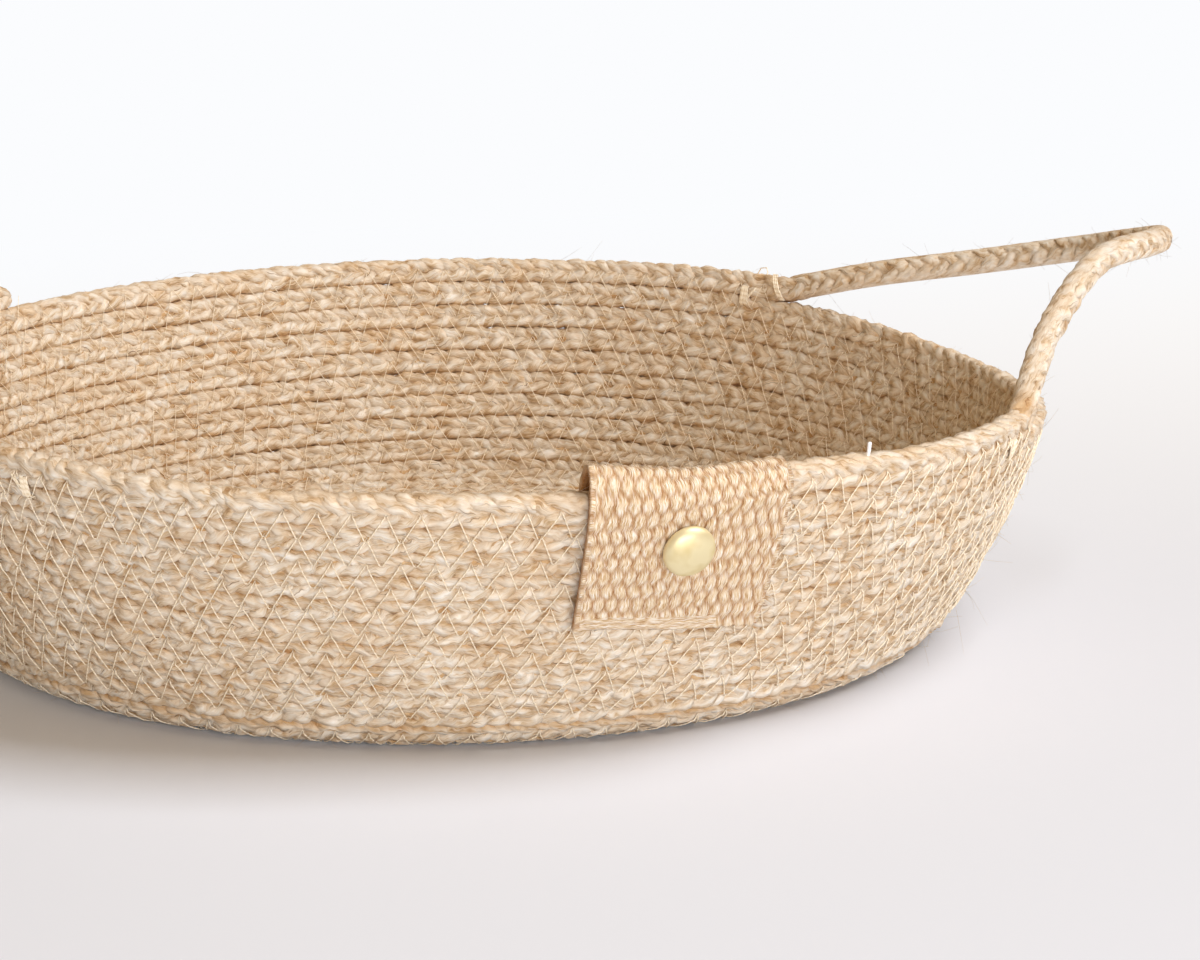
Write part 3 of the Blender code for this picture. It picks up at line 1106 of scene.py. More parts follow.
@dataclass(frozen=True)
class Stitch:
    """The machine's zigzag: its length and width, and how far it pulls the cord in."""

    period: float = 6.3
    half_height: float = 3.15
    steep_share: float = 0.36
    pull: float = 0.95
    reach: float = 1.5

    def dimples(self, spiral: Spiral, turn: np.ndarray, aside: np.ndarray) -> np.ndarray:
        """How far the stitches above and below pull a round's surface in.

        Args:
            spiral: The cord's line.
            turn: R turns along the round.
            aside: How far above the round's middle T x R x sides places are.

        Returns:
            The depths, of the places' shape.
        """
        hole = self.half_height - spiral.pitch / 2
        total = np.zeros(aside.shape)
        for before, heading, shift in ((-0.5, 1.0, self.steep_share), (0.5, -1.0, 0.0)):
            gone = spiral.distance(turn + before) / self.period - shift
            along = ((gone - np.round(gone)) * self.period)[None, :, None]
            off = aside - heading * hole
            joined = ~spiral.uncovered(turn + before - 0.5)[None, :, None]
            total = total + joined * np.exp(-(along**2 + off**2) / self.reach**2)
        return self.pull * np.minimum(total, 1.0)


@dataclass(frozen=True)
class Puffs:
    """The swelling of loosely combed fibre, as waves through space."""

    height: float = 0.16
    shortest: float = 2.4
    longest: float = 7.0
    waves: int = 16
    seed: int = 31

    def at(self, points: np.ndarray) -> np.ndarray:
        """How far the fibre swells at some points.

        Args:
            points: Points in millimetres, along the last axis.

        Returns:
            The swelling at each, in millimetres.
        """
        draw = np.random.default_rng(self.seed)
        total = np.zeros(points.shape[:-1])
        for length in np.geomspace(self.shortest, self.longest, self.waves):
            heading = draw.normal(0.0, 1.0, 3)
            heading *= FULL_TURN / (length * np.linalg.norm(heading))
            total += np.sin(points @ heading + draw.uniform(0.0, FULL_TURN))
        return self.height * total / math.sqrt(self.waves / 2)


@dataclass(frozen=True)
class Braid:
    """The cord itself: five flattened strands, each swinging over two and under two others."""

    repeat: float = 20.0
    swing: float = 1.76
    rise: float = 0.60
    half_width: float = 1.34
    half_height: float = 1.18
    limit: float = 2.66
    softness: float = 0.85
    core_width: float = 2.5
    core_height: float = 1.5
    core_sides: int = 8
    round_core: float = 0.3
    handle_fullness: float = 0.1
    lap: float = 0.96
    # Painted crease shade: bare edges spared, grooves between rounds, and its gain.
    bare_share: float = 0.78
    bare_reach: float = 2.9
    row_gap_shade_from: float = 2.45
    row_gap_shade_width: float = 0.3
    crease_shade_gain: float = 1.35
    lump_turn: float = 2.3
    lumps_apart: float = 611.0
    strands_apart: float = 500.0
    maps_apart: float = 90.0
    least_span: float = 1.5
    sides: int = 8
    step: float = 0.9
    strands: int = 5
    pace: Wander = Wander(0.75, 31.0, 21)
    plumpness: Wander = Wander(0.12, 11.0, 22)
    lumps: Wander = Wander(0.10, 4.1, 23)
    shove: Wander = Wander(0.28, 9.0, 24)
    stitch: Stitch = Stitch()
    puffs: Puffs = Puffs()
    fibres: LooseFibres = LooseFibres()

    @property
    def crest(self) -> float:
        """How far the pressed strands' tops stand from the cord's middle."""
        return float(self.pressed(np.array(self.rise + self.half_height)))

    def pressed(self, height: np.ndarray) -> np.ndarray:
        """The height that is left of a strand's own height, pressed flat by the sewing."""
        return self.limit * np.tanh(height / self.softness)

    def phase(self, distance: np.ndarray) -> np.ndarray:
        """How far the braid has swung at some lengths along the cord, in radians."""
        return FULL_TURN * distance / self.repeat + self.pace.at(distance)

    def offsets(self, phase: np.ndarray) -> tuple[np.ndarray, np.ndarray]:
        """Where each strand is in the cord's section at N phases: sideways and out, T x N."""
        each = phase[None, :] + FULL_TURN / self.strands * np.arange(self.strands)[:, None]
        return self.swing * np.sin(each), self.rise * np.sin(2.0 * each)

    def surface(self, phase: np.ndarray, sideways: np.ndarray, face: Face) -> np.ndarray:
        """The height of the braid's surface above the cord's middle.

        Args:
            phase: N phases in radians.
            sideways: N distances sideways from the cord's middle.
            face: Which face is looked at.

        Returns:
            N heights.
        """
        aside, out = self.offsets(phase)
        off = (sideways[None, :] - aside) / self.half_width
        dome = self.half_height * np.sqrt(np.clip(1.0 - off**2, 0.0, 1.0))
        heights = np.where(np.abs(off) < 1.0, face.value * out + dome, 0.0)
        return self.pressed(heights.max(axis=0))

    def weave(
        self,
        skin: SkinMesh,
        lie: Lie,
        phase: np.ndarray,
        distance: np.ndarray,
        roundness: np.ndarray | float = 0.0,
        sewn: tuple[Spiral, np.ndarray] | None = None,
        fullness: np.ndarray | float = 1.0,
    ) -> None:
        """Lay the strands along a cord's line, with the loose fibres they shed.

        Args:
            skin: The mesh that takes them.
            lie: Where the cord lies.
            phase: The braid's phase at each of its points.
            distance: The length along the cord at each of its points.
            roundness: From 0, pressed flat as in the wall, to 1, round as in a handle.
            sewn: The cord's line and its turns, where stitches pull it in.
            fullness: From 0, drawn in to a point, to 1, at full thickness.
        """
        aside, out = self.offsets(phase)
        aside = aside + self.shove.at(distance)
        paths = (
            lie.middle[None]
            + lie.climb[None] * aside[..., None]
            + lie.out[None] * out[..., None]
        )
        hints = np.broadcast_to(lie.out, paths.shape)
        each = distance[None, :] + self.strands_apart * np.arange(self.strands)[:, None]
        plump = 1.0 + self.plumpness.at(each)
        swing = FULL_TURN * np.arange(self.sides) / self.sides
        around = each[..., None] + self.lump_turn * np.sin(swing)
        swell = 1.0 + self.lumps.at(around + self.lumps_apart * np.cos(swing))
        # Painted crease shade: darker the deeper a point lies below the braid's top.
        dome = np.abs(out[..., None] + self.half_height * np.cos(swing))
        edge = aside[..., None] + self.half_width * np.sin(swing)
        top = self.rise + self.half_height
        # Bare edges, with no round above, and a handle's round sides get less painted shade.
        seen = np.broadcast_to(roundness, distance.shape)[None, :, None]
        seen = self.bare_share * np.abs(edge) * seen
        if sewn is not None:
            free = sewn[0].uncovered(sewn[1])[None, :, None]
            seen = np.where(free, self.bare_share * np.maximum(edge, 0.0), 0.0)
            edge = np.where(free, -edge, np.abs(edge))
            # Painted shade in the groove where an edge meets the next round.
            row_gap_shade = np.clip((edge - self.row_gap_shade_from) / self.row_gap_shade_width, 0.0, 1.0)
        else:
            row_gap_shade = 0.0
        dome = np.maximum(dome, seen * top / self.bare_reach)
        crease_shade = np.clip(self.crease_shade_gain - self.crease_shade_gain * dome / top, 0.0, 1.0)
        depth = np.maximum(crease_shade, row_gap_shade)
        points = skin.add_tubes(
            paths,
            hints,
            self.half_width * plump,
            self.half_height * plump,
            self.sides,
            depth=depth,
            first_place=distance[0] + self.maps_apart * np.arange(self.strands),
            swell=swell,
        )
        fullness = np.broadcast_to(fullness, distance.shape)
        roundness = np.broadcast_to(roundness, distance.shape)
        self.shape(points, lie, roundness, fullness, sewn)
        self.fill(skin, lie, distance, fullness * (1.0 - self.round_core * roundness))
        length = float(distance[-1] - distance[0])
        self.fibres.grow(skin, lie, length, int(distance[0]))

    def shape(
        self,
        points: np.ndarray,
        lie: Lie,
        roundness: np.ndarray,
        fullness: np.ndarray,
        sewn: tuple[Spiral, np.ndarray] | None,
    ) -> None:
        """Press the strands flat, or round, and pull them in at the stitches.

        Args:
            points: T x R x sides x 3 points of the strands, moved in place.
            lie: Where the cord lies.
            roundness: How round the cord is at each of its R places.
            fullness: How full it is at each.
            sewn: The cord's line and its turns, where stitches pull it in.
        """
        off = points - lie.middle[None, :, None]
        out = (off * lie.out[None, :, None]).sum(-1)
        up = (off * lie.climb[None, :, None]).sum(-1)
        flat = np.sign(out) * self.pressed(np.abs(out))
        if sewn is not None:
            spiral, turn = sewn
            pulled = self.stitch.dimples(spiral, turn, up)
            flat -= np.sign(out) * pulled * np.minimum(np.abs(out), 1.0)
        span = np.maximum(np.hypot(out, up), 1e-6)
        ratio = self.pressed(span) / span
        share = roundness[None, :, None]
        new_out = flat * (1.0 - share) + out * ratio * share
        full = fullness[None, :, None] * (1.0 + self.handle_fullness * share)
        new_up = (up * (1.0 - share) + up * ratio * share) * full
        new_out = new_out * full
        reach = np.maximum(np.hypot(new_out, new_up), self.least_span)
        swell = 1.0 + self.puffs.at(points) / reach
        points += lie.out[None, :, None] * (new_out * swell - out)[..., None]
        points += lie.climb[None, :, None] * (new_up - up)[..., None]

    def fill(
        self, skin: SkinMesh, lie: Lie, distance: np.ndarray, fullness: np.ndarray
    ) -> None:
        """Lay the flat core of loose fibre that shows between the strands.

        Args:
            skin: The mesh that takes it.
            lie: Where the cord lies.
            distance: The length along the cord at each of its points.
            fullness: How full the cord is at each.
        """
        skin.add_tubes(
            lie.middle[None],
            lie.out[None],
            self.core_width * fullness[None],
            self.core_height * fullness[None],
            self.core_sides,
            # Full painted crease shade, as the core lies deep between the strands.
            depth=np.ones((1, len(distance), self.core_sides)),
            first_place=distance[:1],
        )


def carried_on(values: np.ndarray) -> np.ndarray:
    """A row of values with one more at either end, as if it went on."""
    return np.concatenate([2 * values[:1] - values[1:2], values, 2 * values[-1:] - values[-2:-1]])


@dataclass
class CordStretch:
    """One stretch of the spiral, as braided cord, lapped into what it joins."""

    name: str
    first: float
    last: float
    stands_for: tuple[str, ...]
    coarseness: float = 1.0
    roundness: float = 0.0
    rounded_end: float = 0.0
    goes_on: tuple[bool, bool] = (True, True)
    end_share: float = 0.97

    def build(self, spiral: Spiral, braid: Braid, material: bpy.types.Material) -> None:
        """Make the stretch.

        Args:
            spiral: The cord's line.
            braid: The cord's make.
            material: Its finish.
        """
        start, end = spiral.distance(np.array([self.first, self.last]))
        step = braid.step * self.coarseness
        distance = np.linspace(start, end, max(int((end - start) / step), 2) + 1)
        before, after = self.goes_on
        distance = carried_on(distance)[0 if before else 1 : None if after else -1]
        turn = spiral.turn_at(distance)
        lie = spiral.lie(turn)
        skin = SkinMesh()
        phase = braid.phase(distance)
        fullness = np.ones(len(distance))
        if self.rounded_end:
            left = distance[-1] - distance if before else distance - distance[0]
            past = np.clip(1.0 - left / self.rounded_end, 0.0, 1.0)
            fullness = np.sqrt(1.0 - self.end_share * past**2)
        fullness[0] *= braid.lap if before else 1.0
        fullness[-1] *= braid.lap if after else 1.0
        braid.weave(skin, lie, phase, distance, self.roundness, (spiral, turn), fullness)
        press_on_ground(skin)
        thing = skin.build(self.name, Coordinates.STRAND)
        finish_piece(thing, material, Body.BASKET, self.stands_for)


def press_on_ground(skin: SkinMesh, ground: float = 0.04, give: float = 0.5) -> None:
    """Flatten what would reach through the ground, softly.

    Args:
        skin: The mesh, changed in place.
        ground: The lowest height that is left.
        give: The height under which points start to be pressed.
    """
    for points in skin.points:
        low = points[:, 2] < give
        over = points[low, 2] - give
        points[low, 2] = ground + (give - ground) * np.exp(over / (give - ground))


@dataclass
class Handle:
    """A loop of the cord between two roots, which bends on the line between them.

    Its route is given by places: along the roots' line, outward from it and up from it.
    """

    name: str
    body: Body
    leave_turn: float
    land_turn: float
    stands_for: str
    bend_reach: float = 5.0
    round_from: float = 9.0
    steps_per_run: int = 12
    route: tuple[tuple[float, float, float], ...] = (
        (75.0, 0.0, 0.0),
        (57.0, 16.5, 6.3),
        (41.0, 35.5, 11.0),
        (23.0, 53.0, 16.3),
        (-1.0, 61.0, 22.3),
        (-24.0, 50.5, 26.0),
        (-41.0, 30.5, 25.5),
        (-57.5, 13.0, 14.0),
        (-75.0, 0.0, 0.0),
    )

    def outward(self, ends: Lie) -> np.ndarray:
        """The level direction out of the basket, square to the line between the roots."""
        out = np.cross(ends.middle[0] - ends.middle[1], [0.0, 0.0, 1.0])
        return out / np.linalg.norm(out)

    def line(self, ends: Lie) -> np.ndarray:
        """The handle's line through its route, as a smooth curve.

        Args:
            ends: The cord's lie at the two roots.

        Returns:
            N x 3 points.
        """
        leave, land = ends.middle
        middle = (leave + land) / 2
        side = (leave - land) / np.linalg.norm(leave - land)
        out = self.outward(ends)
        up = np.cross(out, side)
        scale = np.linalg.norm(leave - land) / (self.route[0][0] - self.route[-1][0])
        knots = [middle + side * w * scale + out * a + up * b for w, a, b in self.route]
        knots = [knots[0] * 2 - knots[1], *knots, knots[-1] * 2 - knots[-2]]
        share = np.arange(self.steps_per_run)[:, None] / self.steps_per_run
        runs = []
        for before, here, there, after in zip(knots, knots[1:], knots[2:], knots[3:]):
            leaving = (there - before) / 2
            arriving = (after - here) / 2
            place = here * (2 * share**3 - 3 * share**2 + 1) + there * (3 * share**2 - 2 * share**3)
            place = place + leaving * (share**3 - 2 * share**2 + share)
            runs.append(place + arriving * (share**3 - share**2))
        return np.concatenate([*runs, knots[-2][None]])

    def even_line(self, ends: Lie, step: float) -> tuple[np.ndarray, np.ndarray]:
        """The handle's line in even steps.

        Args:
            ends: The cord's lie at the two roots.
            step: About how long a step is.

        Returns:
            N distances from the first root, and the N x 3 points there.
        """
        rough = self.line(ends)
        gone = np.concatenate([[0.0], np.cumsum(np.linalg.norm(np.diff(rough, axis=0), axis=1))])
        even = np.linspace(0.0, gone[-1], int(gone[-1] / step) + 1)
        return even, np.stack([np.interp(even, gone, rough[:, k]) for k in range(3)], -1)

    def lie(self, ends: Lie, even: np.ndarray, middle: np.ndarray) -> Lie:
        """How the cord lies along the handle: it twists evenly from one root to the other.

        Args:
            ends: The cord's lie at the two roots.
            even: N distances from the first root.
            middle: The N x 3 points there.

        Returns:
            The cord's lie at those points.
        """
        ahead = np.gradient(middle, axis=0)
        ahead /= np.linalg.norm(ahead, axis=1, keepdims=True)
        out = np.empty_like(middle)
        out[0] = ends.out[0]
        for i in range(len(out)):
            carried = out[max(i - 1, 0)]
            carried = carried - ahead[i] * (carried @ ahead[i])
            out[i] = carried / np.linalg.norm(carried)
        final = ends.out[1] - ahead[-1] * (ends.out[1] @ ahead[-1])
        final /= np.linalg.norm(final)
        climb = np.cross(ahead, out)
        twist = math.atan2(float(final @ climb[-1]), float(final @ out[-1]))
        angle = twist * even / even[-1]
        turned = out * np.cos(angle)[:, None] + climb * np.sin(angle)[:, None]
        return Lie(middle, np.cross(ahead, turned), turned)

    def build(self, spiral: Spiral, braid: Braid, material: bpy.types.Material) -> None:
        """Make the handle.

        Args:
            spiral: The cord's line.
            braid: The cord's make.
            material: Its finish.
        """
        turns = np.array([self.leave_turn, self.land_turn])
        ends = spiral.lie(turns)
        even, middle = self.even_line(ends, braid.step)
        lie = self.lie(ends, even, middle)
        distances = spiral.distance(turns)
        phases = braid.phase(distances)
        natural = FULL_TURN * even[-1] / braid.repeat
        extra = round((natural - (phases[1] - phases[0])) / FULL_TURN) * FULL_TURN
        phase = phases[0] + (phases[1] - phases[0] + extra) * even / even[-1]
        skin = SkinMesh()
        from_root = np.minimum(even, even[-1] - even)
        lie = Lie(carried_on(lie.middle), carried_on(lie.climb), carried_on(lie.out))
        roundness = np.clip(carried_on(from_root) / self.round_from, 0.0, 1.0)
        fullness = np.ones(len(roundness))
        fullness[[0, -1]] = braid.lap
        distance = carried_on(distances[0] + even)
        braid.weave(skin, lie, carried_on(phase), distance, roundness, None, fullness)
        thing = skin.build(self.name, Coordinates.STRAND)
        finish_piece(thing, material, None, (self.stands_for,))
        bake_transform(thing)


@dataclass
class ZigzagSeam:
    """The zigzag sewing that joins each round to the next, seen on one face."""

    name: str
    face: Face
    spans: tuple[tuple[float, float], ...]
    thread_radius: float = 0.135
    proud: float = 0.8
    slack: float = 0.25
    sunk: float = 0.25
    hole_depth: float = 0.75
    sides: int = 4
    shares: tuple[float, ...] = (0.0, 0.12, 0.37, 0.63, 0.88)
    stray: Wander = Wander(0.16, 17.0, 31)

    def path(self, spiral: Spiral, braid: Braid, first: float, last: float) -> Lie:
        """The thread's line between two turns of the lower round.

        Args:
            spiral: The cord's line.
            braid: The cord's make.
            first: The turn at which the seam starts.
            last: The turn at which it ends.

        Returns:
            The line, with the directions at each of its points.
        """
        start, end = spiral.distance(np.array([first, last]) + 0.5)
        stroke = braid.stitch.period / 2
        count = max(int((end - start) / stroke), 1)
        number = math.ceil(start / stroke) + np.repeat(np.arange(count), len(self.shares))
        share = np.tile(np.array(self.shares), count)
        steep = number % 2 == 0
        early = 1.0 - 2.0 * braid.stitch.steep_share
        distance = (number + share - early * np.where(steep, share, 1.0 - share)) * stroke
        turn = spiral.turn_at(distance) - 0.5
        travel = np.where(steep, 2.0 * share - 1.0, 1.0 - 2.0 * share)
        stray = self.stray.at(distance)
        sideways = spiral.pitch / 2 + (braid.stitch.half_height + stray) * travel
        upper = sideways > spiral.pitch / 2
        row_turn = np.where(upper, turn + 1.0, turn)
        aside = np.where(upper, sideways - spiral.pitch, sideways)
        phase = braid.phase(spiral.distance(row_turn))
        relief = braid.surface(phase, aside, self.face)
        slack = np.where(steep, self.slack, 2.0 * self.slack) * np.sin(math.pi * share)
        bridged = np.maximum(relief, braid.crest - slack - self.sunk)
        lift = bridged + self.thread_radius * self.proud
        lift = np.where(share == 0.0, relief - self.hole_depth, lift)
        lie = spiral.lie(turn, sideways)
        middle = lie.middle + lie.out * (self.face.value * lift)[:, None]
        return Lie(middle, lie.climb, lie.out * self.face.value)

    def build(self, spiral: Spiral, braid: Braid, material: bpy.types.Material) -> None:
        """Sew the seam.

        Args:
            spiral: The cord's line.
            braid: The cord's make.
            material: Its finish.
        """
        skin = SkinMesh()
        for first, last in self.spans:
            line = self.path(spiral, braid, first, last)
            radius = np.full((1, len(line.middle)), self.thread_radius)
            skin.add_tubes(line.middle[None], line.out[None], radius, radius, self.sides)
        press_on_ground(skin)
        thing = skin.build(self.name, Coordinates.STRAND)
        finish_piece(thing, material, Body.BASKET)


@dataclass
class BarTack:
    """A dense bar of stitches through the seam of two rounds, with a few crossing threads.

    Each pair of numbers is the least and the most of what is drawn for a thread.
    """

    name: str
    turn: float
    above: bool
    stands_for: str
    width: float = 2.0
    half_height: float = 2.75
    strokes: int = 8
    stroke_lean: tuple[float, float] = (-0.18, 0.18)
    stroke_reach: tuple[float, float] = (0.93, 1.05)
    crossings: int = 3
    crossing_place: tuple[float, float] = (0.3, 1.0)
    crossing_lean: tuple[float, float] = (1.2, 2.4)
    crossing_reach: tuple[float, float] = (0.7, 0.95)
    thread_radius: float = 0.16
    proud: float = 0.1
    dive: float = 1.2
    dive_power: int = 8
    layer: float = 0.05
    layers: int = 3
    points: int = 7
    sides: int = 5

    def build(self, spiral: Spiral, braid: Braid, material: bpy.types.Material) -> None:
        """Sew the bar on both faces.

        Args:
            spiral: The cord's line.
            braid: The cord's make.
            material: Its finish.
        """
        seam = spiral.pitch / 2 if self.above else -spiral.pitch / 2
        skin = SkinMesh()
        draw = np.random.default_rng(len(self.name))
        for face in Face:
            for k in range(self.strokes + self.crossings):
                share = np.linspace(-1.0, 1.0, self.points)
                if k < self.strokes:
                    along = self.width * ((k + 0.5) / self.strokes - 0.5)
                    lean = draw.uniform(*self.stroke_lean)
                    reach = self.half_height * draw.uniform(*self.stroke_reach)
                else:
                    along = self.width * draw.uniform(*self.crossing_place)
                    lean = draw.uniform(*self.crossing_lean)
                    reach = self.half_height * draw.uniform(*self.crossing_reach)
                places = along + lean * share
                turns = self.turn + np.array([spiral.turns_for(p, self.turn) for p in places])
                lie = spiral.lie(turns, seam + reach * share)
                dive = self.dive * np.abs(share) ** self.dive_power
                lift = braid.crest + self.proud - dive + self.layer * (k % self.layers)
                out = lie.out * face.value
                middle = lie.middle + lie.out * (face.value * lift)[:, None]
                radius = np.full((1, len(share)), self.thread_radius)
                skin.add_tubes(middle[None], out[None], radius, radius, self.sides)
        thing = skin.build(self.name, Coordinates.STRAND)
        finish_piece(thing, material, Body.BASKET, (self.stands_for,))


@dataclass(frozen=True)
class ShortThread:
    """A short piece of sewing thread at the rim, laid through places round the cord."""

    name: str
    angle: float
    radius: float
    ups: tuple[float, ...]
    outs: tuple[float, ...]
    alongs: tuple[float, ...]
    sides: int = 6

    def build(self, spiral: Spiral, material: bpy.types.Material) -> None:
        """Make the thread.

        Args:
            spiral: The cord's line.
            material: Its finish.
        """
        turn = spiral.rim_turn(self.angle)
        ups, outs, alongs = np.array([self.ups, self.outs, self.alongs])
        lie = spiral.lie(np.full(len(ups), turn))
        ahead = np.cross(lie.climb, lie.out)
        middle = lie.middle + lie.climb * ups[:, None] + lie.out * outs[:, None]
        middle += ahead * alongs[:, None]
        thickness = np.full((1, len(ups)), self.radius)
        skin = SkinMesh()
        hints = lie.out[None] + HINT_OFFSET
        skin.add_tubes(middle[None], hints, thickness, thickness, self.sides)
        thing = skin.build(self.name, Coordinates.STRAND)
        finish_piece(thing, material, Body.BASKET)


@dataclass(frozen=True)
class RootWrap:
    """Turns of thread that lie slanting over the cord at a handle's root."""

    angle: float = 37.9
    turns: int = 3
    gap: float = 0.5
    slant: float = 4.2
    radius: float = 0.24
    reach_up: float = 3.35
    reach_out: float = 3.0
    sweep: float = 140.0
    points: int = 17

    def build(self, spiral: Spiral, material: bpy.types.Material) -> None:
        """Lay the turns.

        Args:
            spiral: The cord's line.
            material: Their finish.
        """
        sweep = np.linspace(-self.sweep, self.sweep, self.points)
        for k in range(self.turns):
            ShortThread(
                f"root_wrap_{k + 1}",
                self.angle,
                self.radius,
                tuple(self.reach_up * np.cos(np.radians(sweep))),
                tuple(-self.reach_out * np.sin(np.radians(sweep))),
                tuple(self.gap * k - self.slant * sweep / self.sweep),
            ).build(spiral, material)


@dataclass
class WebbingTab:
    """A strip of jute webbing, folded over the rim a little askew, down both faces.

    Across the strip, positive is to the left as the photograph shows it. Along it, zero is
    the end on the outside.
    """

    at: float = 276.6
    width: float = 40.0
    thickness: float = 1.9
    drop: float = 26.2
    drop_tilt: float = 2.1
    skew: float = 0.07
    off_cord: float = 3.05
    crest: float = 4.4
    left_crest: float = 2.6
    right_crest: float = 1.3
    curl: float = 1.3
    curl_from: float = 13.0
    warp_pitch: float = 1.30
    weft_pitch: float = 3.15
    relief: float = 0.6
    crease_shade_gain: float = 1.25
    yarn_half: float = 0.86
    yarn_swell: float = 0.34
    lump_middle: float = 0.55
    lump_swing: float = 0.45
    lump_round: float = 0.85
    selvedge: float = 1.1
    selvedge_fade: float = 0.5
    loop_middle: float = 0.6
    loop_reach: float = 0.9
    loop_low: float = 0.25
    loop_rise: float = 0.65
    end_band: float = 3.2
    end_fade: float = 0.9
    band_height: float = 0.7
    band_wave: float = 0.12
    band_pitch: float = 1.3
    band_bow: float = 0.8
    band_bow_rate: float = 0.6
    warp_sway: float = 3.0
    warp_sway_reach: float = 9.0
    weft_bow: float = 0.5
    weft_bow_reach: float = 6.5
    weft_stray: float = 0.6
    fuzz: LooseFibres = LooseFibres(
        per_mm=1.6, root=0.0, shortest=0.8, longest=3.2, long_share=0.03, long_reach=9.0
    )
    fuzz_sunk: float = 0.2
    fuzz_columns: tuple[int, int] = (2, -3)
    fuzz_rows_apart: int = 8
    fuzz_seeds: tuple[int, int] = (50, 60)
    across_steps: int = 150
    along_step: float = 0.33
    fold_steps: int = 40
    edge_step: float = 0.3
    rivet_across: float = 0.3
    rivet_drop: float = 8.0
    dimple: float = 0.5
    dimple_reach: float = 4.5
    curl_fade: float = 6.0
    under_lap: float = 0.05
    stray: Wander = Wander(0.28, 7.0, 41)

    def profile(self) -> tuple[np.ndarray, np.ndarray, np.ndarray]:
        """The strip's line over the rim, evenly stepped on its outer face.

        Returns:
            The distance along the strip's outer face, the places (out of the wall, up the
            wall) of its under face, and the directions square to it.
        """
        fold = np.linspace(0.0, math.pi, self.fold_steps)
        out = np.concatenate([[self.off_cord], self.off_cord * np.cos(fold), [-self.off_cord]])
        up = np.concatenate([[-self.drop], self.crest * np.sin(fold), [-self.drop]])
        wider = 1.0 + self.thickness / self.off_cord
        higher = np.where(up > 0.0, 1.0 + self.thickness / self.crest, 1.0)
        steps = np.hypot(np.diff(out * wider), np.diff(up * higher))
        gone = np.concatenate([[0.0], np.cumsum(steps)])
        even = np.linspace(0.0, gone[-1], int(gone[-1] / self.along_step) + 1)
        line = np.stack([np.interp(even, gone, out), np.interp(even, gone, up)], -1)
        ahead = np.gradient(line, axis=0)
        ahead /= np.linalg.norm(ahead, axis=1, keepdims=True)
        square = np.stack([ahead[:, 1], -ahead[:, 0]], -1)
        return even, line, square

    def lumps(self, across: np.ndarray, along: np.ndarray) -> np.ndarray:
        """The plain weave's relief: warp yarns that rise and dive round hidden weft.

        Args:
            across: Distances across the strip.
            along: Distances along it, of the same shape.

        Returns:
            Heights from about 0 in the creases to 1 on the lumps.
        """
        column = np.floor(across / self.warp_pitch)
        best = np.full(across.shape, 0.0)
        for shift in (-1, 0, 1, 2):
            yarn = column + shift
            middle = yarn * self.warp_pitch
            wave = np.cos(math.pi * (along / self.weft_pitch + yarn))
            off = (across - middle) / (self.yarn_half + self.yarn_swell * wave)
            dome = np.sqrt(np.clip(1.0 - off**2, 0.0, 1.0))
            height = self.lump_middle + self.lump_swing * wave - self.lump_round * (1.0 - dome)
            best = np.maximum(best, np.where(np.abs(off) < 1.0, height, 0.0))
        return best

    def weft_share(self, across: np.ndarray, along: np.ndarray, length: float) -> np.ndarray:
        """How much of the surface is weft: the selvedges, where it turns, and the two ends.

        Args:
            across: Distances across the strip.
            along: Distances along it, of the same shape.
            length: The strip's length.

        Returns:
            Shares from 0 to 1.
        """
        from_side = self.width / 2 - np.abs(across)
        from_end = np.minimum(along, length - along)
        side = np.clip((self.selvedge - from_side) / self.selvedge_fade, 0.0, 1.0)
        end = np.clip((self.end_band - from_end) / self.end_fade, 0.0, 1.0)
        # Over its last quarter the end's band is plain weave again, as in the photograph.
        return np.maximum(side, end * (across > -self.width / 4))

    def weft(self, across: np.ndarray, along: np.ndarray, length: float) -> np.ndarray:
        """The relief of the weft where it shows: loops at the sides, flat bands at the ends.

        Args:
            across: Distances across the strip.
            along: Distances along it, of the same shape.
            length: The strip's length.

        Returns:
            Heights from 0 to 1.
        """
        from_side = self.width / 2 - np.abs(across)
        turn = np.where(across > 0.0, 0.0, 0.5)
        wave = 0.5 + 0.5 * np.cos(FULL_TURN * (along / self.weft_pitch + turn))
        off = (from_side - self.loop_middle) / self.loop_reach
        dome = np.sqrt(np.clip(1.0 - off**2, 0.0, 1.0))
        loops = self.loop_low + self.loop_rise * wave * dome
        from_end = np.minimum(along, length - along)
        bow = self.band_bow * np.sin(self.band_bow_rate * across)
        band = self.band_wave * np.cos(FULL_TURN * from_end / self.band_pitch + bow)
        return np.where(from_side < self.selvedge, loops, self.band_height + band)

    def grid(
        self, spiral: Spiral, across: np.ndarray, line: np.ndarray
    ) -> tuple[np.ndarray, np.ndarray, np.ndarray]:
        """The strip's under face on the wall, with the wall's own directions there.

        Args:
            spiral: The cord's line.
            across: The A distances across the strip.
            line: The S places along it, out of the wall and up the wall.

        Returns:
            A x S x 3 places, and the directions out of the wall and up the wall there.
        """
        aside, up = np.meshgrid(across, line[:, 1], indexing="ij")
        out = np.broadcast_to(line[:, 0], aside.shape)
        share = aside / (self.width / 2)
        longer = 1.0 - self.drop_tilt * share / self.drop
        rise = np.where(share > 0.0, self.left_crest, self.right_crest) * share
        above = np.where(up > 0.0, up * (1.0 + rise / self.crest), 0.0)
        below = np.where(up < 0.0, up * longer, 0.0)
        moved = aside - self.skew * (above + below)
        middle_turn = spiral.rim_turn(self.at)
        radius = float(spiral.radius(np.array(spiral.pitch * middle_turn)))
        turns = middle_turn + moved / (FULL_TURN * radius)
        lie = spiral.lie(turns.ravel(), below.ravel())
        shape = (*aside.shape, 3)
        outward = lie.out.reshape(shape)
        upward = lie.climb.reshape(shape)
        places = lie.middle.reshape(shape) + outward * out[..., None] + upward * above[..., None]
        return places, outward, upward

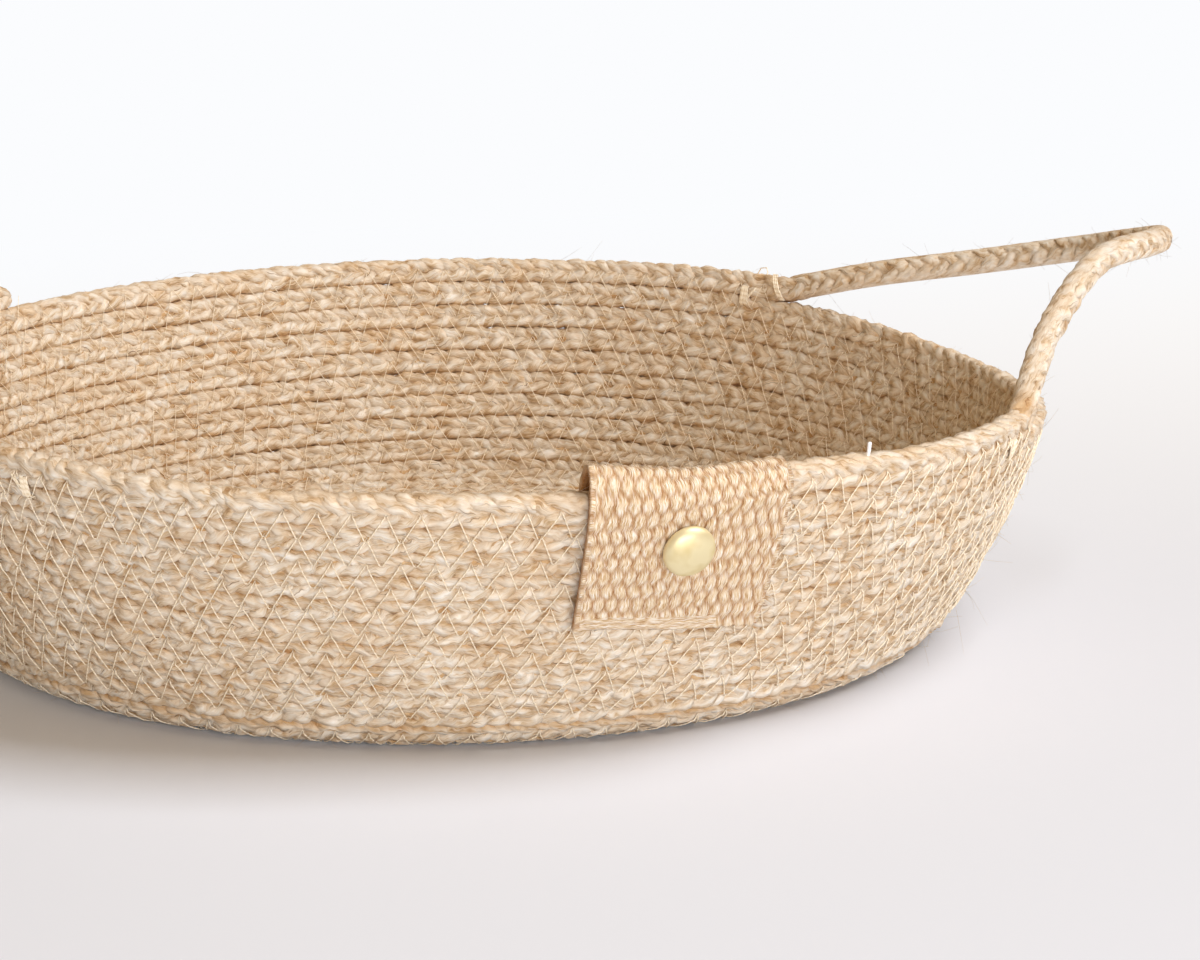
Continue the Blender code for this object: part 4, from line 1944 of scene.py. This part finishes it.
    def pressed(self, across: np.ndarray, along: np.ndarray) -> np.ndarray:
        """How far the rivet presses the strip in, at places across and along it."""
        off = np.hypot(across - self.rivet_across, along - (self.drop - self.rivet_drop))
        return self.dimple * np.exp(-((off / self.dimple_reach) ** 2))

    def lifted(self, across: np.ndarray, along: np.ndarray) -> np.ndarray:
        """How far the strip's left edge curls off the wall, on the outside.

        Args:
            across: Distances across the strip.
            along: Distances along it, of the same shape.

        Returns:
            The heights.
        """
        outer = np.clip((self.drop + self.crest - along) / self.curl_fade, 0.0, 1.0)
        past = (across - self.curl_from) / (self.width / 2 - self.curl_from)
        return self.curl * np.clip(past, 0.0, 1.0) ** 2 * outer

    def build(self, spiral: Spiral, material: bpy.types.Material) -> None:
        """Weave the strip and fold it over the rim.

        Args:
            spiral: The cord's line.
            material: Its finish.
        """
        along, line, square = self.profile()
        length = float(along[-1])
        across = np.linspace(-self.width / 2, self.width / 2, self.across_steps + 1)
        places, outward, upward = self.grid(spiral, across, line)
        normal = outward * square[None, :, :1] + upward * square[None, :, 1:]
        grid_across, grid_along = np.meshgrid(across, along, indexing="ij")
        sway = self.warp_sway * np.sin(grid_across / self.warp_sway_reach)
        wavy = grid_across + self.stray.at(grid_along + sway)
        bow = self.weft_bow * np.sin(grid_across / self.weft_bow_reach)
        bowed = grid_along + bow + self.weft_stray * self.stray.at(grid_across)
        weft_share = self.weft_share(grid_across, grid_along, length)
        relief = self.lumps(wavy, bowed) * (1.0 - weft_share)
        relief += self.weft(grid_across, bowed, length) * weft_share
        lifted = self.lifted(grid_across, grid_along)
        top = self.thickness - self.relief + self.relief * relief
        top = top - self.pressed(grid_across, grid_along) + lifted
        skin = SkinMesh()
        number = np.arange(relief.size).reshape(relief.shape)
        near, far = number[:-1], number[1:]
        quads = np.stack([near[:, :-1], far[:, :-1], far[:, 1:], near[:, 1:]], -1).reshape(-1, 4)
        turned = (weft_share > 0.5).ravel()[:, None]
        straight = np.stack([wavy, bowed], -1).reshape(-1, 2)
        crossed = np.stack([bowed, wavy], -1).reshape(-1, 2)
        corner_places = np.where(turned[quads[:, :1]], crossed[quads], straight[quads])
        # Painted shade in the weave's creases, deepest between the lumps.
        depth = np.clip(1.0 - relief.ravel() * self.crease_shade_gain, 0.0, 1.0)
        skin.add_points((places + normal * top[..., None]).reshape(-1, 3), depth)
        skin.add_faces(quads, corner_places)
        # Full painted shade on the under face, which the closed edges blend towards.
        under = (places + normal * (lifted - self.under_lap)[..., None]).reshape(-1, 3)
        first = skin.add_points(under, np.ones(relief.size))
        skin.add_faces(quads[:, ::-1] + first, corner_places[:, ::-1])
        raised = places + normal * (top - self.fuzz_sunk)[..., None]
        for edge in self.fuzz_columns:
            line_there = Lie(raised[edge], upward[edge], normal[edge])
            self.fuzz.grow(skin, line_there, length, self.fuzz_seeds[0] + edge)
        fold = int(np.argmax(line[:, 1]))
        for beside in (fold - self.fuzz_rows_apart, fold, fold + self.fuzz_rows_apart):
            line_there = Lie(raised[:, beside], upward[:, beside], normal[:, beside])
            self.fuzz.grow(skin, line_there, self.width, self.fuzz_seeds[1] + beside)
        self.close(skin, number)
        thing = skin.build("webbing_tab_weave", Coordinates.WEAVE)
        bpy.context.view_layer.update()
        recalculate_normals(thing)
        finish_piece(thing, material, Body.BASKET, ("webbing_tab",))

    def close(self, skin: SkinMesh, number: np.ndarray) -> None:
        """Close the strip's four edges between its two faces.

        Args:
            skin: The mesh, which has both faces.
            number: The numbers of the upper face's points.
        """
        under = number + number.size
        rims = [
            np.concatenate([face[:, 0], face[-1, 1:], face[-2::-1, -1], face[0, -2:0:-1]])
            for face in (number, under)
        ]
        sides = np.stack([rims[0], rims[1], np.roll(rims[1], -1), np.roll(rims[0], -1)], -1)
        run = self.edge_step * np.arange(len(sides) + 1)
        edge_places = np.stack([
            np.stack([run[:-1], np.zeros(len(sides))], -1),
            np.stack([run[:-1], np.ones(len(sides))], -1),
            np.stack([run[1:], np.ones(len(sides))], -1),
            np.stack([run[1:], np.zeros(len(sides))], -1),
        ], axis=1)
        skin.add_faces(sides, edge_places)


def recalculate_normals(thing: bpy.types.Object) -> None:
    """Turn all faces of a closed mesh outwards.

    Args:
        thing: The object, whose mesh is changed.
    """
    work = bmesh.new()
    work.from_mesh(thing.data)
    bmesh.ops.recalc_face_normals(work, faces=work.faces)
    work.to_mesh(thing.data)
    work.free()


@dataclass
class Rivet:
    """A double-cap rivet: a domed cap on the webbing's face and one behind it."""

    at: float = 276.2
    drop: float = 8.0
    cap_radius: float = 5.2
    cap_height: float = 2.4
    rim: float = 0.5
    seat: float = 5.25
    flat_rings: float = 0.6
    lip: float = 0.7
    groove_width: float = 0.3
    groove_depth: float = 0.25
    roll: float = 0.22
    roll_segments: int = 3
    roll_angle: float = 40.0
    segments: int = 48
    rings: int = 7

    def place(self, spiral: Spiral) -> Matrix:
        """The rivet's seat on the wall, with Z out of the basket.

        Args:
            spiral: The cord's line.

        Returns:
            The seat's matrix, in metres.
        """
        turn = spiral.rim_turn(self.at)
        step = spiral.turns_for(1.0, turn)
        lie = spiral.lie(np.array([turn, turn - step]), -self.drop)
        along = Vector(lie.middle[1] - lie.middle[0]).normalized()
        out = along.cross(Vector(lie.climb[0])).normalized()
        up = out.cross(along).normalized()
        frame = Matrix((along, up, out)).transposed().to_4x4()
        frame.translation = Vector(lie.middle[0]) * MM
        return frame

    def cap(self, name: str, face: Face) -> bpy.types.Object:
        """Press one cap: a disc whose top is drawn up ring by ring, with a rolled rim.

        Args:
            name: The cap's name.
            face: Which face of the wall it is on.

        Returns:
            The cap, at the origin, with its dome on +Z or -Z.
        """
        deselect_all()
        bpy.ops.mesh.primitive_cylinder_add(
            vertices=self.segments,
            radius=self.cap_radius * MM,
            depth=self.rim * MM,
            end_fill_type="NGON",
            location=(0.0, 0.0, (self.seat + self.rim / 2) * MM),
        )
        thing = bpy.context.object
        thing.name = name
        thing.data.name = name
        bpy.ops.object.transform_apply(location=True, rotation=True, scale=True)
        bpy.ops.object.mode_set(mode="EDIT")
        select_faces_at(thing, self.seat + self.rim)
        now_radius = 1.0
        now_height = 0.0
        for k in range(1, self.rings + 1):
            swing = math.pi / 2 * k / (self.rings + self.flat_rings)
            radius = math.cos(swing)
            height = math.sin(swing)
            step = (height - now_height) * self.cap_height * MM
            bpy.ops.mesh.extrude_region_move(TRANSFORM_OT_translate={"value": (0.0, 0.0, step)})
            # The resize pivots on the origin, so it leaves the heights as they are.
            ratio = radius / now_radius
            bpy.ops.transform.resize(value=(ratio, ratio, 1.0), center_override=(0.0, 0.0, 0.0))
            now_radius = radius
            now_height = height
        select_faces_at(thing, self.seat)
        bpy.ops.mesh.inset(thickness=self.lip * MM, depth=0.0)
        bpy.ops.mesh.inset(thickness=self.groove_width * MM, depth=-self.groove_depth * MM)
        bpy.ops.mesh.select_all(action="SELECT")
        bpy.ops.mesh.normals_make_consistent(inside=False)
        bpy.ops.object.mode_set(mode="OBJECT")
        bevel = thing.modifiers.new("rolled_rim", "BEVEL")
        bevel.width = self.roll * MM
        bevel.segments = self.roll_segments
        bevel.limit_method = "ANGLE"
        bevel.angle_limit = math.radians(self.roll_angle)
        bpy.ops.object.modifier_apply(modifier=bevel.name)
        if face is Face.INSIDE:
            thing.data.transform(Matrix.Rotation(math.pi, 4, "X"))
        return thing

    def build(self, spiral: Spiral, material: bpy.types.Material) -> None:
        """Make both caps and set them on the wall.

        Args:
            spiral: The cord's line.
            material: Their finish.
        """
        frame = self.place(spiral)
        for name, face, node in (
            ("rivet_front", Face.OUTSIDE, "rivet_front_cap"),
            ("rivet_back", Face.INSIDE, "rivet_back_cap"),
        ):
            thing = self.cap(name, face)
            thing.data.transform(frame)
            thing.data.shade_smooth()
            finish_piece(thing, material, Body.BASKET, (node,))


def select_faces_at(thing: bpy.types.Object, height: float, near: float = 0.1) -> None:
    """Select only the faces at a height, in edit mode.

    Args:
        thing: The object that is edited.
        height: The height of the faces' middles.
        near: How far off they may be.
    """
    bpy.ops.mesh.select_all(action="DESELECT")
    work = bmesh.from_edit_mesh(thing.data)
    for part in work.faces:
        part.select_set(abs(part.calc_center_median().z / MM - height) < near)
    bmesh.update_edit_mesh(thing.data)


def deselect_all() -> None:
    """Leave nothing selected."""
    for thing in bpy.context.selected_objects:
        thing.select_set(False)


@dataclass(frozen=True)
class Softbox:
    """A lamp: its place, width and height in metres, its power in watts and its aim."""

    name: str
    place: tuple[float, float, float]
    width: float
    height: float
    power: float
    aim: tuple[float, float, float] = (0.0, 0.0, 0.03)


@dataclass
class Studio:
    """The floor, the lamps and the camera, which stands where the photograph was taken."""

    camera_at: tuple[float, float, float] = (-199.54, -821.27, 224.1)
    heading: float = -15.8
    dip: float = 12.98
    roll: float = -0.41
    focal_pixels: float = 4046.0
    image_width: float = 1200.0
    sensor_width: float = 36.0
    clip_start: float = 0.01
    floor_side: float = 60.0
    lamp_colour: str = "f8faff"
    world_strength: float = 0.36
    world_colour: str = "ffdfae"
    lamps: tuple[Softbox, ...] = (
        Softbox("key_softbox", (1.25, -0.67, 2.11), 1.6, 1.6, 53.5),
        Softbox("fill_softbox", (-0.05, -1.6, 0.28), 1.0, 0.50, 16.2),
        # It stands back to back with the fill, so that the floor has no dark edge there.
        Softbox("floor_softbox", (-0.05, -1.6, 0.28), 1.0, 0.50, 16.2, (-0.05, -3.2, 0.03)),
    )

    def floor(self) -> None:
        """Lay the paper that the basket stands on."""
        deselect_all()
        bpy.ops.mesh.primitive_plane_add(size=self.floor_side, location=(0.0, 0.0, 0.0))
        thing = bpy.context.object
        thing.name = "studio_floor"
        bpy.ops.object.transform_apply(location=True, rotation=True, scale=True)
        thing.data.materials.append(StudioPaper().material("studio_paper"))

    def lights(self) -> None:
        """Hang the lamps and set the room's light."""
        world = bpy.data.worlds.new("soft_room")
        world.use_nodes = True
        back = world.node_tree.nodes["Background"]
        back.inputs["Color"].default_value = linear(self.world_colour)
        back.inputs["Strength"].default_value = self.world_strength
        bpy.context.scene.world = world
        for box in self.lamps:
            data = bpy.data.lights.new(box.name, "AREA")
            data.shape = "RECTANGLE"
            data.size = box.width
            data.size_y = box.height
            data.energy = box.power
            data.color = linear(self.lamp_colour)[:3]
            lamp = bpy.data.objects.new(box.name, data)
            lamp.location = box.place
            aim = Vector(box.aim) - Vector(box.place)
            lamp.rotation_euler = aim.to_track_quat("-Z", "Y").to_euler()
            bpy.context.scene.collection.objects.link(lamp)

    def camera(self) -> None:
        """Put the camera where the photograph was taken from."""
        data = bpy.data.cameras.new("camera")
        data.sensor_fit = "HORIZONTAL"
        data.sensor_width = self.sensor_width
        data.lens = self.focal_pixels * self.sensor_width / self.image_width
        data.clip_start = self.clip_start
        camera = bpy.data.objects.new("camera", data)
        turned = Matrix.Rotation(math.radians(self.heading), 4, "Z")
        turned = turned @ Matrix.Rotation(math.radians(90.0 - self.dip), 4, "X")
        turned = turned @ Matrix.Rotation(math.radians(self.roll), 4, "Z")
        camera.matrix_world = Matrix.Translation(Vector(self.camera_at) * MM) @ turned
        bpy.context.scene.collection.objects.link(camera)
        bpy.context.scene.camera = camera

    def build(self) -> None:
        """Set the stage."""
        self.floor()
        self.lights()
        self.camera()
        bpy.context.scene.view_settings.view_transform = "Standard"


@dataclass
class Basket:
    """The whole basket: cord, seams, tacks, handles, webbing and rivet."""

    spiral: Spiral = Spiral()
    braid: Braid = Braid()
    centre_turn: float = 0.12
    base_cuts: tuple[float, float] = (11.0, 16.0)
    base_coarseness: float = 1.8
    centre_rounding: float = 3.5
    rim_roundness: float = 0.15
    end_coarseness: float = 0.7
    end_roundness: float = 0.3
    end_rounding: float = 5.0
    wall_rows: tuple[str, ...] = ("lowest", "lower", "middle", "upper", "top")
    under_thread: float = 0.09
    under_slack: float = 0.8
    hidden_turns: float = 1.0
    tack_beyond_root: float = 4.2

    def base_stretches(self) -> list[CordStretch]:
        """The base's cord in three stretches, so that no piece has too many faces.

        Returns:
            The stretches, from the middle outwards.
        """
        inner, outer = self.base_cuts
        node = ("base_coil",)
        coarse = self.base_coarseness
        middle = CordStretch("base_braid_middle", inner, outer, node, coarse)
        last = CordStretch("base_braid_outer", outer, self.spiral.wall_first_turn, node, coarse)
        first = CordStretch(
            "base_braid_inner",
            self.centre_turn,
            inner,
            node,
            coarse,
            rounded_end=self.centre_rounding,
            goes_on=(False, True),
        )
        return [first, middle, last]

    def wall_stretches(self) -> list[CordStretch]:
        """The wall's cord in stretches of equal length, one for each of its named rows.

        Returns:
            The stretches, from the foot up.
        """
        spiral = self.spiral
        ends = np.array([spiral.wall_first_turn, spiral.rim_first_turn])
        cuts = spiral.turn_at(np.linspace(*spiral.distance(ends), len(self.wall_rows) + 1))
        cuts[[0, -1]] = ends
        return [
            CordStretch(f"wall_braid_{row}", low, high, ("wall_coil",))
            for row, low, high in zip(self.wall_rows, cuts[:-1], cuts[1:])
        ]

    def rim_stretches(self) -> list[CordStretch]:
        """The rim's two sewn stretches and the cord's tucked end.

        Returns:
            The back stretch, the front one and the end.
        """
        spiral = self.spiral
        back = CordStretch(
            "rim_braid_back", spiral.rim_first_turn, spiral.right_leave, ("rim_cord_back",)
        )
        front = CordStretch(
            "rim_braid_front", spiral.right_land, spiral.left_leave, ("rim_cord_front",)
        )
        back.roundness = front.roundness = self.rim_roundness
        end = CordStretch(
            "tucked_end_braid",
            spiral.left_land,
            spiral.last_turn,
            ("cord_end",),
            self.end_coarseness,
            self.end_roundness,
            self.end_rounding,
            (True, False),
        )
        return [back, front, end]

    def cord(self) -> None:
        """Lay the cord, stretch by stretch, with its handles."""
        jute = BraidedJute().material("braided_jute")
        spiral = self.spiral
        right = (spiral.right_leave, spiral.right_land)
        left = (spiral.left_leave, spiral.left_land)
        for piece in (
            *self.base_stretches(),
            *self.wall_stretches(),
            *self.rim_stretches(),
            Handle("handle_braid_right", Body.RIGHT_HANDLE, *right, "handle_right"),
            Handle("handle_braid_left", Body.LEFT_HANDLE, *left, "handle_left"),
        ):
            piece.build(spiral, self.braid, jute)

    def sewing(self) -> None:
        """Sew the rounds together and tack the handles' roots."""
        thread = SewingThread().material("cream_thread")
        spiral = self.spiral
        wall = spiral.wall_first_turn
        right_leave = spiral.right_leave
        right_land = spiral.right_land
        left_leave = spiral.left_leave
        base_spans = ((spiral.first_turn, wall),)
        wall_spans = (
            (wall, right_leave - 1.0),
            (right_land - 1.0, left_leave - 1.0),
            (spiral.left_land - 1.0, spiral.last_turn - 1.0),
        )
        above_corner = ((wall + self.hidden_turns, right_leave - 1.0), *wall_spans[1:])
        for place, spans in (("base", base_spans), ("wall", wall_spans)):
            for face in Face:
                name = f"{place}_seam_{face.name.lower()}"
                seen = above_corner if (place, face) == ("wall", Face.OUTSIDE) else spans
                seam = ZigzagSeam(name, face, seen)
                if face is Face.INSIDE:
                    seam.thread_radius = self.under_thread
                    seam.proud = 0.0
                    seam.slack = self.under_slack
                seam.build(spiral, self.braid, thread)
        beyond = self.tack_beyond_root / 360.0
        left_back = spiral.rim_first_turn + beyond
        for tack in (
            BarTack("tack_right_back", right_leave - beyond, False, "bar_tack_right_back"),
            BarTack("tack_right_front", right_land + beyond, False, "bar_tack_right_front"),
            BarTack("tack_left_front", left_leave - beyond, False, "bar_tack_left_front"),
            BarTack("tack_left_back", left_back, True, "bar_tack_left_back"),
        ):
            tack.build(spiral, self.braid, thread)
        self.thread_ends(thread)

    def thread_ends(self, thread: bpy.types.Material) -> None:
        """Leave the two thread ends on the rim, and the wraps at a handle's root.

        Args:
            thread: The thread's finish.
        """
        white = SewingThread("ffffff", "eef0f6").material("white_thread")
        stub = ShortThread(
            "cut_thread_end", 295.2, 0.40, (1.8, 3.9, 5.9), (0.3, 0.3, 0.4), (0.0, 0.1, -0.2)
        )
        loop = ShortThread(
            "loose_thread_loop",
            39.5,
            0.14,
            (1.6, 3.4, 4.6, 4.4, 2.9, 1.5),
            (-0.6, -0.4, 0.0, 0.5, 0.9, 0.8),
            (0.0, -1.0, -0.2, 1.6, 2.6, 2.2),
        )
        stub.build(self.spiral, white)
        loop.build(self.spiral, thread)
        RootWrap().build(self.spiral, thread)

    def tab(self) -> None:
        """Fold the webbing over the rim and rivet it."""
        WebbingTab().build(self.spiral, WovenJute().material("woven_jute"))
        Rivet().build(self.spiral, PaleBrass().material("pressed_pale_brass"))

    def build(self) -> None:
        """Make every piece."""
        self.cord()
        self.sewing()
        self.tab()


def main() -> None:
    """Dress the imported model."""
    logging.basicConfig(level=logging.INFO, format="%(message)s")
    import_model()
    Studio().build()
    Basket().build()


if __name__ == "__main__":
    main()
